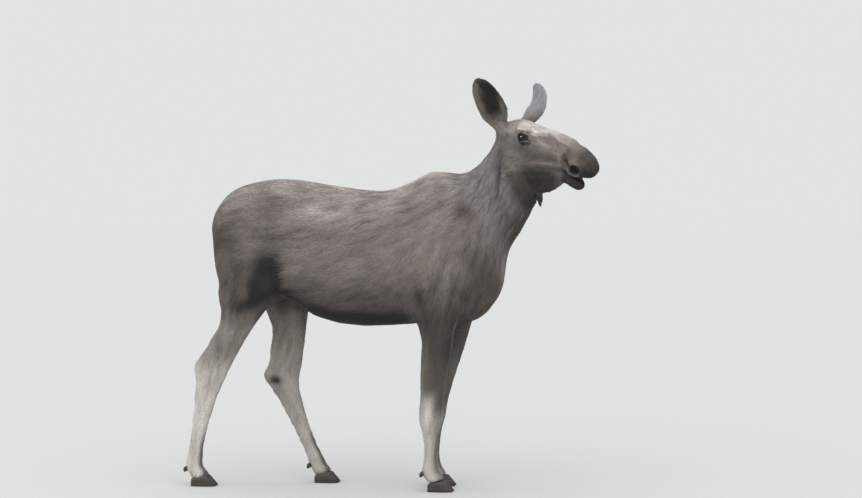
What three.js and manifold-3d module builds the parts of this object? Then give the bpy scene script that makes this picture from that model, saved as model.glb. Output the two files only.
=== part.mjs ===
// A young cow moose, life size, standing with one hind foot back and its head turned to its right.
// Millimetres, +X forward, +Y to the animal's left, +Z up, feet on z = 0.
// One smooth field describes the whole outline. Each named part is lofted from it in slices and
// parted from its neighbours by flat cuts.

import * as THREE from "three";
import { mergeVertices } from "three/addons/utils/BufferGeometryUtils.js";
import Module from "manifold-3d";

const wasm = await Module();
wasm.setup();

// ---------------------------------------------------------------- driving dimensions

const HALF_GAP = 0.2; // half the clearance left at every cut
const RIGHT = -1;
const LEFT = 1;

// Trunk outline at stations along the body: x, height of back, height of belly, half width
const TRUNK = [
  [-696, 1540, 1250, 88],
  [-655, 1598, 1190, 124],
  [-560, 1652, 1110, 160],
  [-400, 1684, 1050, 184],
  [-280, 1678, 968, 200],
  [-150, 1655, 900, 214],
  [60, 1624, 868, 222],
  [200, 1612, 872, 214],
  [330, 1655, 880, 194],
  [440, 1702, 884, 178],
  [520, 1706, 886, 170],
  [600, 1660, 892, 164],
  [720, 1540, 940, 142],
  [790, 1440, 1040, 110],
];
const TRUNK_END_ROUND = 55;

// Neck centre line: x, y, z, half depth, half width
const NECK = [
  [645, 0, 1432, 262, 146],
  [722, -4, 1486, 236, 124],
  [792, -14, 1552, 212, 108],
  [852, -28, 1630, 190, 96],
  [898, -40, 1716, 168, 90],
  [922, -50, 1812, 142, 84],
];

// Head: place of the poll, and how far the head is turned and lowered
const POLL = new THREE.Vector3(913, -45, 1985);
const HEAD_TURN = THREE.MathUtils.degToRad(-33);
const HEAD_DIP = THREE.MathUtils.degToRad(20);
const HEAD_ROLL = THREE.MathUtils.degToRad(5);
const EYE = { u: 142, v: 85, w: -42, radius: 21 };
const NOSTRIL = { u: 515, v: 57, w: -93 };
const MOUTH = { cornerU: 403, cornerW: -148, upperW: -129, lowerW: -147, frontU: 560 };

// Ears: foot in the head's frame, and the run of the blade in the body's frame
const EAR = { halfWidth: 77, wall: 10 };
const EAR_FOOT = { [RIGHT]: [-12, -80, -52], [LEFT]: [-10, 88, -52] };
const EAR_MIDDLE = { [RIGHT]: [788, -146, 2066], [LEFT]: [1022, 112, 2072] };
const EAR_TIP = { [RIGHT]: [716, -178, 2198], [LEFT]: [986, 172, 2182] };
// Each stem's width as a share of its blade, how far it wraps round, and how blunt the tip is
const EAR_STEM = { [RIGHT]: 0.42, [LEFT]: 0.46 };
const EAR_WRAP = { [RIGHT]: 2.2, [LEFT]: 1.6 };
const EAR_TAPER = { [RIGHT]: 3.8, [LEFT]: 2.6 };
const EAR_FACE = { [RIGHT]: [-0.1, -0.98, 0.1], [LEFT]: [0.7, 0.7, 0.05] };

// Joints of each leg: x and z, and y measured out from the midline
const HIND_JOINTS = {
  [RIGHT]: {
    hip: [-560, 92, 1400],
    stifle: [-445, 154, 1082],
    hock: [-754, 130, 592],
    fetlock: [-844, 122, 118],
  },
  [LEFT]: {
    hip: [-560, 92, 1400],
    stifle: [-328, 154, 1090],
    hock: [-402, 130, 545],
    fetlock: [-212, 120, 118],
  },
};
const FORE_JOINTS = {
  [RIGHT]: {
    shoulder: [688, 130, 1190],
    elbow: [480, 132, 990],
    knee: [466, 112, 418],
    fetlock: [461, 108, 118],
  },
  [LEFT]: {
    shoulder: [707, 130, 1190],
    elbow: [542, 132, 990],
    knee: [444, 112, 414],
    fetlock: [438, 108, 118],
  },
};

// How far the shin's muscle lies behind the line from stifle to hock: a leg drawn back stretches it
const SHIN_BACK = { [RIGHT]: 18, [LEFT]: -2 };

// Hoof: one claw's length and width, the cleft between two, and the height of its top edge
const CLAW = { length: 138, width: 47, cleft: 5, heelBack: 10, toeSlope: 1.12, toeHeight: 9 };
const DEWCLAW = { length: 46, radius: 14, back: 44, out: 21, drop: 26 };

// ---------------------------------------------------------------- the field's building blocks
// A form is a function of a point that is negative inside the flesh and grows about as fast as
// the distance from its surface.

function ellipsoid(centre, radii, pitch = 0, yaw = 0) {
  const turn = new THREE.Quaternion().setFromEuler(new THREE.Euler(0, pitch, yaw, "ZYX")).invert();
  const middle = new THREE.Vector3(...centre);
  const q = new THREE.Vector3();
  return (p) => {
    q.copy(p).sub(middle).applyQuaternion(turn);
    const near = Math.hypot(q.x / radii[0], q.y / radii[1], q.z / radii[2]);
    const steep = Math.hypot(q.x / radii[0] ** 2, q.y / radii[1] ** 2, q.z / radii[2] ** 2);
    return steep < 1e-9 ? -Math.min(...radii) : (near * (near - 1)) / steep;
  };
}

const smoothThrough = (places) =>
  new THREE.CatmullRomCurve3(places.map((place) => new THREE.Vector3(...place)), false, "centripetal");

// A limb runs through stations [x, y, z, half depth, half width]; width is measured along Y.
function limb(stations, smooth = 4) {
  const places = new THREE.CatmullRomCurve3(stations.map((s) => new THREE.Vector3(s[0], s[1], s[2])));
  const sizes = new THREE.CatmullRomCurve3(stations.map((s) => new THREE.Vector3(s[3], s[4], 0)));
  const count = (stations.length - 1) * smooth;
  const samples = Array.from({ length: count + 1 }, (_, i) => {
    const at = places.getPoint(i / count);
    const size = sizes.getPoint(i / count);
    return [at.x, at.y, at.z, size.x, size.y];
  });
  return (p) => {
    let least = Infinity;
    for (let i = 0; i < count; i++) {
      const [ax, ay, az, ad, aw] = samples[i];
      const [bx, by, bz, bd, bw] = samples[i + 1];
      const ex = bx - ax;
      const ey = by - ay;
      const ez = bz - az;
      const along = ((p.x - ax) * ex + (p.y - ay) * ey + (p.z - az) * ez) / (ex * ex + ey * ey + ez * ez);
      const t = Math.min(1, Math.max(0, along));
      const depth = ad + (bd - ad) * t;
      const width = aw + (bw - aw) * t;
      const side = ((p.y - ay - ey * t) * depth) / width;
      const far = Math.hypot(p.x - ax - ex * t, side, p.z - az - ez * t);
      least = Math.min(least, (far - depth) * Math.min(1, width / depth + 0.15));
    }
    return least;
  };
}

// The trunk: an upright oval at each x, with back and belly heights from the outline table
function barrel(rows) {
  const columns = [1, 2, 3].map((c) => smoothThrough(rows.map((r) => [r[0], r[c], 0])));
  const steps = 240;
  const first = rows[0][0];
  const last = rows[rows.length - 1][0];
  const tables = columns.map((curve) => {
    const points = curve.getPoints(steps * 4);
    let k = 0;
    return Array.from({ length: steps + 1 }, (_, i) => {
      const x = first + ((last - first) * i) / steps;
      while (k < points.length - 2 && points[k + 1].x < x) k++;
      const t = (x - points[k].x) / (points[k + 1].x - points[k].x || 1);
      return points[k].y + (points[k + 1].y - points[k].y) * t;
    });
  });
  const read = (table, x) => {
    const i = ((x - first) / (last - first)) * steps;
    const j = Math.min(steps - 1, Math.floor(i));
    return table[j] + (table[j + 1] - table[j]) * (i - j);
  };
  return (p) => {
    const x = Math.min(last, Math.max(first, p.x));
    const [back, belly, half] = tables.map((table) => read(table, x));
    const middle = belly + (back - belly) * 0.46;
    const tall = p.z > middle ? back - middle : middle - belly;
    // The back is roof shaped and the belly round.
    const power = p.z > middle ? 1.9 : 2.25;
    const r = ((Math.abs(p.y) / half) ** power + (Math.abs(p.z - middle) / tall) ** power) ** (1 / power);
    const section = (r - 1) * Math.min(half, tall) * 0.9;
    const beyond = Math.abs(p.x - x);
    if (beyond <= 0) return section;
    return Math.hypot(Math.max(section + TRUNK_END_ROUND, 0), beyond) - TRUNK_END_ROUND;
  };
}

function softMin(a, b, reach) {
  const h = Math.max(reach - Math.abs(a - b), 0) / reach;
  return Math.min(a, b) - (h * h * reach) / 4;
}

function join(reach, ...forms) {
  return (p) => forms.reduce((least, form) => softMin(least, form(p), reach), 1e6);
}

function carve(reach, form, hollow) {
  return (p) => -softMin(-form(p), hollow(p), reach);
}

function inFrame(matrix, form) {
  const back = matrix.clone().invert();
  const q = new THREE.Vector3();
  return (p) => form(q.copy(p).applyMatrix4(back));
}

const bothSides = (make) => [make(RIGHT), make(LEFT)];
const between = (a, b, t) => a.map((value, i) => value + (b[i] - value) * t);
const sided = (joint, side) => [joint[0], side * joint[1], joint[2]];
const shifted = (point, ...by) => point.map((value, i) => value + by[i]);

// ---------------------------------------------------------------- the animal's forms

const headFrame = new THREE.Matrix4()
  .makeTranslation(POLL)
  .multiply(new THREE.Matrix4().makeRotationZ(HEAD_TURN))
  .multiply(new THREE.Matrix4().makeRotationY(HEAD_DIP))
  .multiply(new THREE.Matrix4().makeRotationX(HEAD_ROLL));

function trunkForm() {
  const rump = ellipsoid([-570, 0, 1440], [176, 146, 186]);
  const hips = bothSides((s) => ellipsoid([-430, s * 106, 1560], [90, 56, 70]));
  const shoulders = bothSides((s) =>
    limb([
      [455, s * 56, 1620, 90, 40],
      [520, s * 104, 1450, 140, 62],
      [600, s * 122, 1300, 150, 68],
      [675, s * 122, 1190, 112, 62],
    ]),
  );
  const triceps = bothSides((s) => ellipsoid([500, s * 136, 1170], [150, 58, 165], 0.35));
  const brisket = limb([
    [740, 0, 1120, 90, 100],
    [690, 0, 1020, 90, 92],
    [560, 0, 970, 80, 90],
  ]);
  const chestFront = ellipsoid([735, 0, 1190], [105, 125, 160]);
  const hindquarters = join(60, rump, ...hips);
  const chest = join(30, brisket, chestFront);
  return join(45, barrel(TRUNK), hindquarters, ...shoulders, ...triceps, chest);
}

function neckForm() {
  return limb(NECK, 6);
}

function upperHeadForm() {
  const cranium = ellipsoid([48, 0, -80], [108, 82, 90]);
  const forehead = ellipsoid([150, 0, -32], [120, 80, 64]);
  const orbits = bothSides((s) => ellipsoid([134, s * 68, -30], [54, 30, 42], 0.25));
  const bridge = limb([
    [160, 0, -32, 60, 58],
    [235, 0, -16, 60, 50],
    [320, 0, -10, 60, 47],
    [390, 0, -20, 64, 51],
  ]);
  const face = limb([
    [170, 0, -104, 92, 76],
    [270, 0, -90, 82, 62],
    [370, 0, -78, 74, 52],
  ]);
  const muzzle = limb([
    [392, 0, -48, 90, 56],
    [462, 0, -60, 78, 62],
    [522, 0, -76, 64, 60],
    [552, 0, -81, 48, 53],
  ]);
  const upperLip = limb([
    [420, 0, -116, 28, 48],
    [490, 0, -106, 32, 56],
    [536, 0, -97, 27, 48],
  ]);
  const wings = bothSides((s) => ellipsoid([502, s * 44, -88], [46, 24, 36]));
  const cheeks = bothSides((s) => ellipsoid([195, s * 54, -165], [125, 34, 92], 0.2));
  const earRoots = bothSides((s) => ellipsoid([-24, s * 70, -56], [58, 36, 48]));
  const skull = join(26, cranium, forehead, ...orbits, bridge, face, ...cheeks, ...earRoots);
  const solid = join(22, skull, muzzle, upperLip, ...wings);
  const nostrils = bothSides((s) =>
    ellipsoid([NOSTRIL.u, s * (NOSTRIL.v + 10), NOSTRIL.w], [22, 20, 15], 0.75, s * -0.3),
  );
  return carve(8, solid, join(1, ...nostrils));
}

function jawForm() {
  const body = limb([
    [130, 0, -205, 72, 62],
    [240, 0, -212, 58, 52],
    [335, 0, -190, 42, 42],
    [402, 0, -174, 26, 34],
    [462, 0, -180, 30, 38],
    [508, 0, -180, 33, 37],
  ]);
  const throat = limb([
    [190, 0, -262, 64, 48],
    [280, 0, -258, 56, 36],
    [345, 0, -232, 38, 27],
    [388, 0, -204, 20, 20],
  ]);
  return join(22, body, throat);
}

function hindLegForm(side) {
  const j = HIND_JOINTS[side];
  const [hip, stifle, hock, fetlock] = [j.hip, j.stifle, j.hock, j.fetlock].map((p) => sided(p, side));
  // Directions up the cannon bone and backwards from it, for the point of the hock
  const up = new THREE.Vector3(...hock).sub(new THREE.Vector3(...fetlock)).normalize();
  const fromHock = (rise, back) => shifted(hock, up.x * rise - up.z * back, 0, up.z * rise + up.x * back);
  const seat = [-672, side * 88, 1395];
  const calf = shifted(between(stifle, hock, 0.34), -70, 0, 8);
  const thigh = limb([
    [...hip, 185, 92],
    [...shifted(between(hip, stifle, 0.55), -25, 0, 0), 160, 84],
    [...stifle, 82, 64],
  ]);
  const hamstring = limb([
    [...seat, 78, 66],
    [...shifted(between(seat, calf, 0.5), 14, side * 18, 0), 92, 64],
    [...calf, 62, 46],
  ]);
  const gaskin = limb([
    [...shifted(stifle, 0, 0, -10), 80, 64],
    [...shifted(between(stifle, hock, 0.35), -SHIN_BACK[side], 0, 0), 80, 54],
    [...shifted(between(stifle, hock, 0.72), 12 - SHIN_BACK[side], 0, 0), 74, 44],
    [...shifted(hock, 4, 0, 0), 78, 43],
  ]);
  const heel = fromHock(48, 86);
  const tendon = limb([
    [...calf, 46, 30],
    [...between(calf, heel, 0.55), 27, 23],
    [...heel, 24, 24],
    [...fromHock(14, 48), 32, 26],
  ]);
  // Skin that closes the hollow between the shin's muscle and the tendon behind it
  const web = limb([
    [...between(between(stifle, hock, 0.45), calf, 0.5), 52, 26],
    [...between(between(stifle, hock, 0.75), between(calf, heel, 0.5), 0.55), 36, 22],
    [...between(hock, heel, 0.5), 36, 24],
  ]);
  const cannon = limb([
    [...fromHock(10, 0), 76, 42],
    [...shifted(between(hock, fetlock, 0.2), -2, 0, 0), 66, 37],
    [...shifted(between(hock, fetlock, 0.5), -6, 0, 0), 48, 30],
    [...shifted(between(hock, fetlock, 0.82), -6, 0, 0), 41, 29],
    [...shifted(fetlock, -4, 0, 4), 45, 34],
  ]);
  return join(30, join(50, thigh, hamstring), join(16, gaskin, tendon, web, cannon, pasternForm(fetlock)));
}

function foreLegForm(side) {
  const j = FORE_JOINTS[side];
  const chain = [j.shoulder, j.elbow, j.knee, j.fetlock];
  const [shoulder, elbow, knee, fetlock] = chain.map((p) => sided(p, side));
  const arm = limb([
    [...shoulder, 105, 62],
    [...elbow, 112, 60],
  ]);
  const point = ellipsoid(shifted(elbow, -54, 0, 0), [34, 30, 48]);
  const forearm = limb([
    [...shifted(elbow, 20, 0, -30), 101, 58],
    [...shifted(between(elbow, knee, 0.3), 28, 0, 0), 87, 54],
    [...shifted(between(elbow, knee, 0.62), 10, 0, 0), 77, 47],
    [...shifted(between(elbow, knee, 0.86), 4, 0, 0), 67, 43],
    [...knee, 69, 46],
    [...shifted(knee, -3, 0, -46), 62, 42],
  ]);
  const cannon = limb([
    [...shifted(knee, -2, 0, -60), 55, 39],
    [...between(knee, fetlock, 0.45), 41, 30],
    [...between(knee, fetlock, 0.8), 37, 29],
    [...shifted(fetlock, -2, 0, 0), 43, 34],
  ]);
  return join(20, join(40, arm, point, forearm), cannon, pasternForm(fetlock));
}

// The pastern slopes forward from the fetlock to the crown of the hoof.
function pasternForm(fetlock) {
  return limb([
    [...fetlock, 42, 34],
    [...shifted(fetlock, 14, 0, -34), 38, 36],
    [...shifted(fetlock, 32, 0, -66), 46, 46],
    [...shifted(fetlock, 40, 0, -92), 50, 48],
  ]);
}

const head = inFrame(headFrame, join(16, upperHeadForm(), jawForm()));
const neck = neckForm();
const trunk = trunkForm();
const legs = {
  hind: { [RIGHT]: hindLegForm(RIGHT), [LEFT]: hindLegForm(LEFT) },
  fore: { [RIGHT]: foreLegForm(RIGHT), [LEFT]: foreLegForm(LEFT) },
};
const legForms = [legs.hind[RIGHT], legs.hind[LEFT], legs.fore[RIGHT], legs.fore[LEFT]];
const torso = join(50, trunk, neck);
const torsoAndLegs = (p) => legForms.reduce((least, leg) => softMin(least, leg(p), 42), torso(p));
const wholeBody = (p) => softMin(torsoAndLegs(p), head(p), 24);

// ---------------------------------------------------------------- from field to solids

// Lofts a form along a line of centres, given as a function of 0 to 1 in the slicing frame:
// slices lie in that frame's YZ planes, and in each one rays run out to the form's surface.
// Slices begin and end where the line enters and leaves the form, and stand closer near its ends.
function loft(form, frame, line, slices, rays, reach, flatten = 1) {
  const point = new THREE.Vector3();
  const at = (centre, dy, dz, far) =>
    point.set(centre[0], centre[1] + dy * far, centre[2] + dz * far).applyMatrix4(frame);
  const inside = (centre, dy, dz, far) => form(at(centre, dy, dz, far)) < 0;
  const [start, end] = [0, 1].map((limit) => {
    let near = LINE_TRIES.find((t) => inside(line(t), 0, 0, 0));
    let t = near;
    const step = limit === 0 ? -0.01 : 0.01;
    while (Math.abs(t - limit) > 1e-9 && inside(line(t), 0, 0, 0)) {
      near = t;
      t = Math.min(1, Math.max(0, t + step));
    }
    for (let n = 0; n < 9; n++) {
      const middle = (near + t) / 2;
      if (inside(line(middle), 0, 0, 0)) near = middle;
      else t = middle;
    }
    return near;
  });
  const points = [];
  for (let i = 0; i < slices; i++) {
    const s = i / (slices - 1);
    const centre = line(start + (end - start) * (s - (0.75 * Math.sin(2 * Math.PI * s)) / (2 * Math.PI)));
    for (let k = 0; k < rays; k++) {
      const angle = (2 * Math.PI * (k + 0.5)) / rays;
      const length = Math.hypot(Math.cos(angle) * flatten, Math.sin(angle));
      const [dy, dz] = [(Math.cos(angle) * flatten) / length, Math.sin(angle) / length];
      let near = 0;
      let far = 6;
      while (far < reach && inside(centre, dy, dz, far)) {
        near = far;
        far += 6;
      }
      for (let n = 0; n < 12 && far < reach; n++) {
        const middle = (near + far) / 2;
        if (inside(centre, dy, dz, middle)) near = middle;
        else far = middle;
      }
      points.push(at(centre, dy, dz, Math.max(near, 0.5)).clone());
    }
  }
  points.push(...[start, end].map((t) => at(line(t), 0, 0, 0).clone()));
  const faces = [];
  for (let i = 0; i < slices - 1; i++) {
    for (let k = 0; k < rays; k++) {
      const [a, b] = [i * rays + k, i * rays + ((k + 1) % rays)];
      const [c, d] = [a + rays, b + rays];
      // The shorter diagonal follows the form better.
      if (points[a].distanceTo(points[d]) < points[b].distanceTo(points[c])) faces.push([a, b, d], [a, d, c]);
      else faces.push([a, b, c], [b, d, c]);
    }
  }
  for (let k = 0; k < rays; k++) {
    const next = (k + 1) % rays;
    faces.push([slices * rays, next, k]);
    faces.push([slices * rays + 1, (slices - 1) * rays + k, (slices - 1) * rays + next]);
  }
  return toSolid(points, faces);
}

const LINE_TRIES = Array.from({ length: 19 }, (_, i) => 0.5 + (i % 2 ? -0.05 : 0.05) * Math.ceil(i / 2));
const mix = (a, b, t) => a + (b - a) * t;
// A smooth line through the given places
const through = (places) => {
  const curve = smoothThrough(places);
  return (t) => curve.getPoint(t).toArray();
};

function toSolid(points, faces) {
  const mesh = new wasm.Mesh({
    numProp: 3,
    vertProperties: new Float32Array(points.flatMap((p) => [p.x, p.y, p.z])),
    triVerts: new Uint32Array(faces.flat()),
  });
  const solid = new wasm.Manifold(mesh);
  return solid.volume() < 0 ? toSolid(points, faces.map(([a, b, c]) => [a, c, b])) : solid;
}

function solidOf(geometry, matrix = new THREE.Matrix4()) {
  const plain = geometry.clone().applyMatrix4(matrix);
  plain.deleteAttribute("normal");
  plain.deleteAttribute("uv");
  const merged = mergeVertices(plain, 1e-3);
  return new wasm.Manifold(
    new wasm.Mesh({
      numProp: 3,
      vertProperties: new Float32Array(merged.attributes.position.array),
      triVerts: new Uint32Array(merged.index.array),
    }),
  );
}

// A solid joined with copies of itself shifted along each axis, to cut a neighbour that must clear it
function grown(solid, gap = 1) {
  const { vertProperties, triVerts } = solid.getMesh();
  const copies = [];
  for (const axis of [0, 1, 2]) {
    for (const step of [-gap, gap]) {
      const moved = vertProperties.map((value, i) => (i % 3 === axis ? value + step : value));
      copies.push(new wasm.Manifold(new wasm.Mesh({ numProp: 3, vertProperties: moved, triVerts })));
    }
  }
  return copies.reduce((all, copy) => all.add(copy));
}

// The half space on the side that `normal` points to, as a large block
function beyond(point, normal, clearance = HALF_GAP) {
  const size = 6000;
  const n = new THREE.Vector3(...normal).normalize();
  const turn = new THREE.Quaternion().setFromUnitVectors(new THREE.Vector3(0, 0, 1), n);
  const middle = new THREE.Vector3(...point).addScaledVector(n, size / 2 + clearance);
  const place = new THREE.Matrix4().makeRotationFromQuaternion(turn).setPosition(middle);
  return solidOf(new THREE.BoxGeometry(size, size, size), place);
}

// ---------------------------------------------------------------- where the parts are cut

const inHead = (u, v, w) => new THREE.Vector3(u, v, w).applyMatrix4(headFrame).toArray();
const headWay = (u, v, w) => new THREE.Vector3(u, v, w).transformDirection(headFrame).toArray();

// A plane is a point and the direction of the side that is kept.
const neckPlane = { point: [700, 0, 1470], normal: [0.905, 0, 0.426] };
const headPlane = { point: inHead(8, 0, -110), normal: headWay(0.82, 0, 0.57) };
const flipped = ({ point, normal }) => ({ point, normal: normal.map((value) => -value) });

// How far a point lies outside a region bounded by planes, and the region as a solid
function outside(planes) {
  const walls = planes.map(({ point, normal }) => ({
    normal: new THREE.Vector3(...normal).normalize(),
    offset: new THREE.Vector3(...normal).normalize().dot(new THREE.Vector3(...point)),
  }));
  return (p) => walls.reduce((most, wall) => Math.max(most, wall.offset - p.dot(wall.normal)), -1e6);
}

function region(planes, clearance = HALF_GAP) {
  const blocks = planes.map(({ point, normal }) => beyond(point, normal, clearance));
  return blocks.reduce((left, block) => left.intersect(block));
}

// The stretch of the body that belongs to each leg: under a plane that rises outwards,
// between two upright planes, and clear of the midline
const LEG_SPAN = {
  hind: { [RIGHT]: [-1200, -348], [LEFT]: [-1200, -262] },
  fore: { [RIGHT]: [360, 640], [LEFT]: [396, 700] },
};
// That sloping plane: how far out and how high it starts, and how steeply it rises
const LEG_TOP = {
  hind: { out: 36, height: 1000, rise: 0.85 },
  fore: { out: 46, height: 925, rise: 0.8 },
};

function legPlanes(which, side) {
  const [back, front] = LEG_SPAN[which][side];
  const top = LEG_TOP[which];
  return [
    { point: [0, side * top.out, top.height], normal: [0, side * top.rise, -1] },
    { point: [back, 0, 0], normal: [1, 0, 0] },
    { point: [front, 0, 1000], normal: [-1, 0, -0.25] },
    { point: [0, side * 10, 0], normal: [0, side, 0] },
  ];
}

const coronet = (fetlock) => ({ point: [fetlock[0] + 84, 0, 63], normal: [-0.21, 0, 0.978] });

// The jaw parts from the head along one plane from the corner of the mouth back to the jaw's
// angle, and in front of the corner along the upper and the lower lip.
const corner = inHead(MOUTH.cornerU, 0, MOUTH.cornerW);
const across = (du, dw) => headWay(-dw, 0, du);
const hinge = { point: corner, normal: across(MOUTH.cornerU - 150, MOUTH.cornerW + 236) };
const toFront = MOUTH.frontU - MOUTH.cornerU;
const upperLip = { point: corner, normal: across(toFront, MOUTH.upperW - MOUTH.cornerW) };
const lowerLip = { point: corner, normal: across(toFront, MOUTH.lowerW - MOUTH.cornerW) };
const beforeCorner = { point: corner, normal: headWay(1, 0, 0) };

// ---------------------------------------------------------------- the named parts

const finishes = {
  coat: { color: 0x6f6761, roughness: 0.9, metalness: 0 },
  darkCoat: { color: 0x3a3833, roughness: 0.9, metalness: 0 },
  legCoat: { color: 0xa9a69c, roughness: 0.9, metalness: 0 },
  horn: { color: 0x2b2723, roughness: 0.5, metalness: 0 },
  eye: { color: 0x120d0a, roughness: 0.1, metalness: 0 },
};
const moose = new THREE.Group();
const solids = {};

function addPart(name, solid, finish) {
  const { vertProperties, triVerts, numProp } = solid.getMesh();
  if (numProp !== 3 || triVerts.length === 0) throw new Error(`${name} is empty`);
  const geometry = new THREE.BufferGeometry();
  geometry.setAttribute("position", new THREE.BufferAttribute(new Float32Array(vertProperties), 3));
  geometry.setIndex(new THREE.BufferAttribute(new Uint32Array(triVerts), 1));
  geometry.computeVertexNormals();
  const mesh = new THREE.Mesh(geometry, new THREE.MeshStandardMaterial(finish));
  mesh.name = name;
  moose.add(mesh);
  solids[name] = solid;
}

const bodyFrame = new THREE.Matrix4();
const sideName = { [RIGHT]: "right", [LEFT]: "left" };

// The body's form kept to a region, with a margin that the exact cut then removes
const keptTo = (form, planes, margin = 40) => {
  const far = outside(planes);
  return (p) => Math.max(form(p), far(p) - margin);
};

function addTrunk() {
  const legs = ["hind", "fore"].flatMap((which) => [RIGHT, LEFT].map((s) => legPlanes(which, s)));
  const insideLeg = legs.map((planes) => outside(planes));
  const form = (p) => Math.max(torsoAndLegs(p), ...insideLeg.map((far) => -far(p) - 60));
  const middle = [[-810, 1400], [-400, 1400], [100, 1300], [480, 1270], [700, 1160], [840, 1130]];
  const line = through(middle.map(([x, z]) => [x, 0, z]));
  const solid = loft(keptTo(form, [flipped(neckPlane)]), bodyFrame, line, 29, 25, 580, 0.75);
  const parted = legs.reduce((left, planes) => left.subtract(region(planes, -HALF_GAP)), solid);
  addPart("trunk", parted.intersect(region([flipped(neckPlane)])), finishes.coat);
}

function addNeck() {
  const axis = new THREE.Vector3(...neckPlane.normal).normalize();
  const side = new THREE.Vector3(0, 1, 0);
  const frame = new THREE.Matrix4().makeBasis(axis, side, new THREE.Vector3().crossVectors(axis, side));
  const back = frame.clone().invert();
  const places = NECK.map((s) => new THREE.Vector3(s[0], s[1], s[2]).applyMatrix4(back).toArray());
  const planes = [neckPlane, flipped(headPlane)];
  const solid = loft(keptTo(wholeBody, planes, 25), frame, through(places), 12, 20, 420, 0.55);
  addPart("neck", solid.intersect(region(planes)), finishes.coat);
}

const eyeSolid = (side, extra = 0) => {
  const centre = new THREE.Matrix4().makeTranslation(...inHead(EYE.u, side * EYE.v, EYE.w));
  return solidOf(new THREE.SphereGeometry(EYE.radius + extra, 10, 7), centre);
};

function addHead() {
  const behind = [headPlane, hinge, flipped(beforeCorner)];
  const before = [headPlane, upperLip, beforeCorner];
  const [farBehind, farBefore] = [outside(behind), outside(before)];
  const form = (p) => Math.max(wholeBody(p), Math.min(farBehind(p) - 40, farBefore(p) - 4));
  // The head is sliced squarely, along a line through the middle of the skull and the muzzle.
  const line = through([[-140, 0, -100], [140, 0, -96], [420, 0, -74], [500, 0, -82], [640, 0, -88]]);
  const solid = loft(form, headFrame, line, 32, 24, 330, 0.75);
  const upper = solid.intersect(region(behind).add(region([headPlane, upperLip, shiftBack(beforeCorner)])));
  const eyes = [RIGHT, LEFT].map((s) => eyeSolid(s, 2 * HALF_GAP));
  addPart("head", eyes.reduce((left, eye) => left.subtract(eye), upper), finishes.coat);
  for (const s of [RIGHT, LEFT]) addPart(`${sideName[s]}_eye`, eyeSolid(s), finishes.eye);
}

// Moves a plane a little outwards so that two regions that meet there join
const shiftBack = ({ point, normal }) => ({ point: point.map((value, i) => value - normal[i] * 1), normal });

// The jaw is sliced parallel to the cut behind the head.
const jawSlices = new THREE.Matrix4()
  .makeTranslation(...headPlane.point)
  .multiply(new THREE.Matrix4().extractRotation(headFrame))
  .multiply(new THREE.Matrix4().makeRotationY(-Math.atan2(0.57, 0.82)));

function addJaw() {
  const behind = [headPlane, flipped(hinge), flipped(beforeCorner)];
  const before = [headPlane, flipped(lowerLip), beforeCorner];
  const [farBehind, farBefore] = [outside(behind), outside(before)];
  const form = (p) => Math.max(wholeBody(p), Math.min(farBehind(p) - 25, farBefore(p) - 4));
  const toSlices = jawSlices.clone().invert();
  const places = [[96, -262], [200, -262], [290, -220], [350, -190], [410, -174], [470, -178], [600, -180]];
  const inSlices = ([u, w]) => new THREE.Vector3(...inHead(u, 0, w)).applyMatrix4(toSlices).toArray();
  const line = through(places.map(inSlices));
  const solid = loft(form, jawSlices, line, 18, 13, 300, 0.6);
  const lower = region(behind).add(region([headPlane, flipped(lowerLip), shiftBack(beforeCorner)]));
  addPart("lower_jaw", solid.intersect(lower), finishes.darkCoat);
}

// The bell: a small flap of skin and hair that hangs from the throat
function addBell() {
  const root = inHead(254, 0, -300);
  const form = limb([
    [...root, 26, 15],
    [...shifted(root, 4, 0, -40), 24, 13],
    [...shifted(root, 8, 0, -74), 11, 8],
  ]);
  const frame = new THREE.Matrix4().makeRotationY(Math.PI / 2).setPosition(...root);
  const bell = loft(form, frame, (t) => [mix(-40, 110, t), 0, mix(-4, 11, t)], 8, 8, 60, 0.6);
  addPart("bell", bell.subtract(grown(solids.lower_jaw)), finishes.darkCoat);
}

// The largest piece of a solid that cutting has left in several
const larger = (one, other) => (other.volume() > one.volume() ? other : one);
const largest = (solid) => solid.decompose().reduce(larger);

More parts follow.
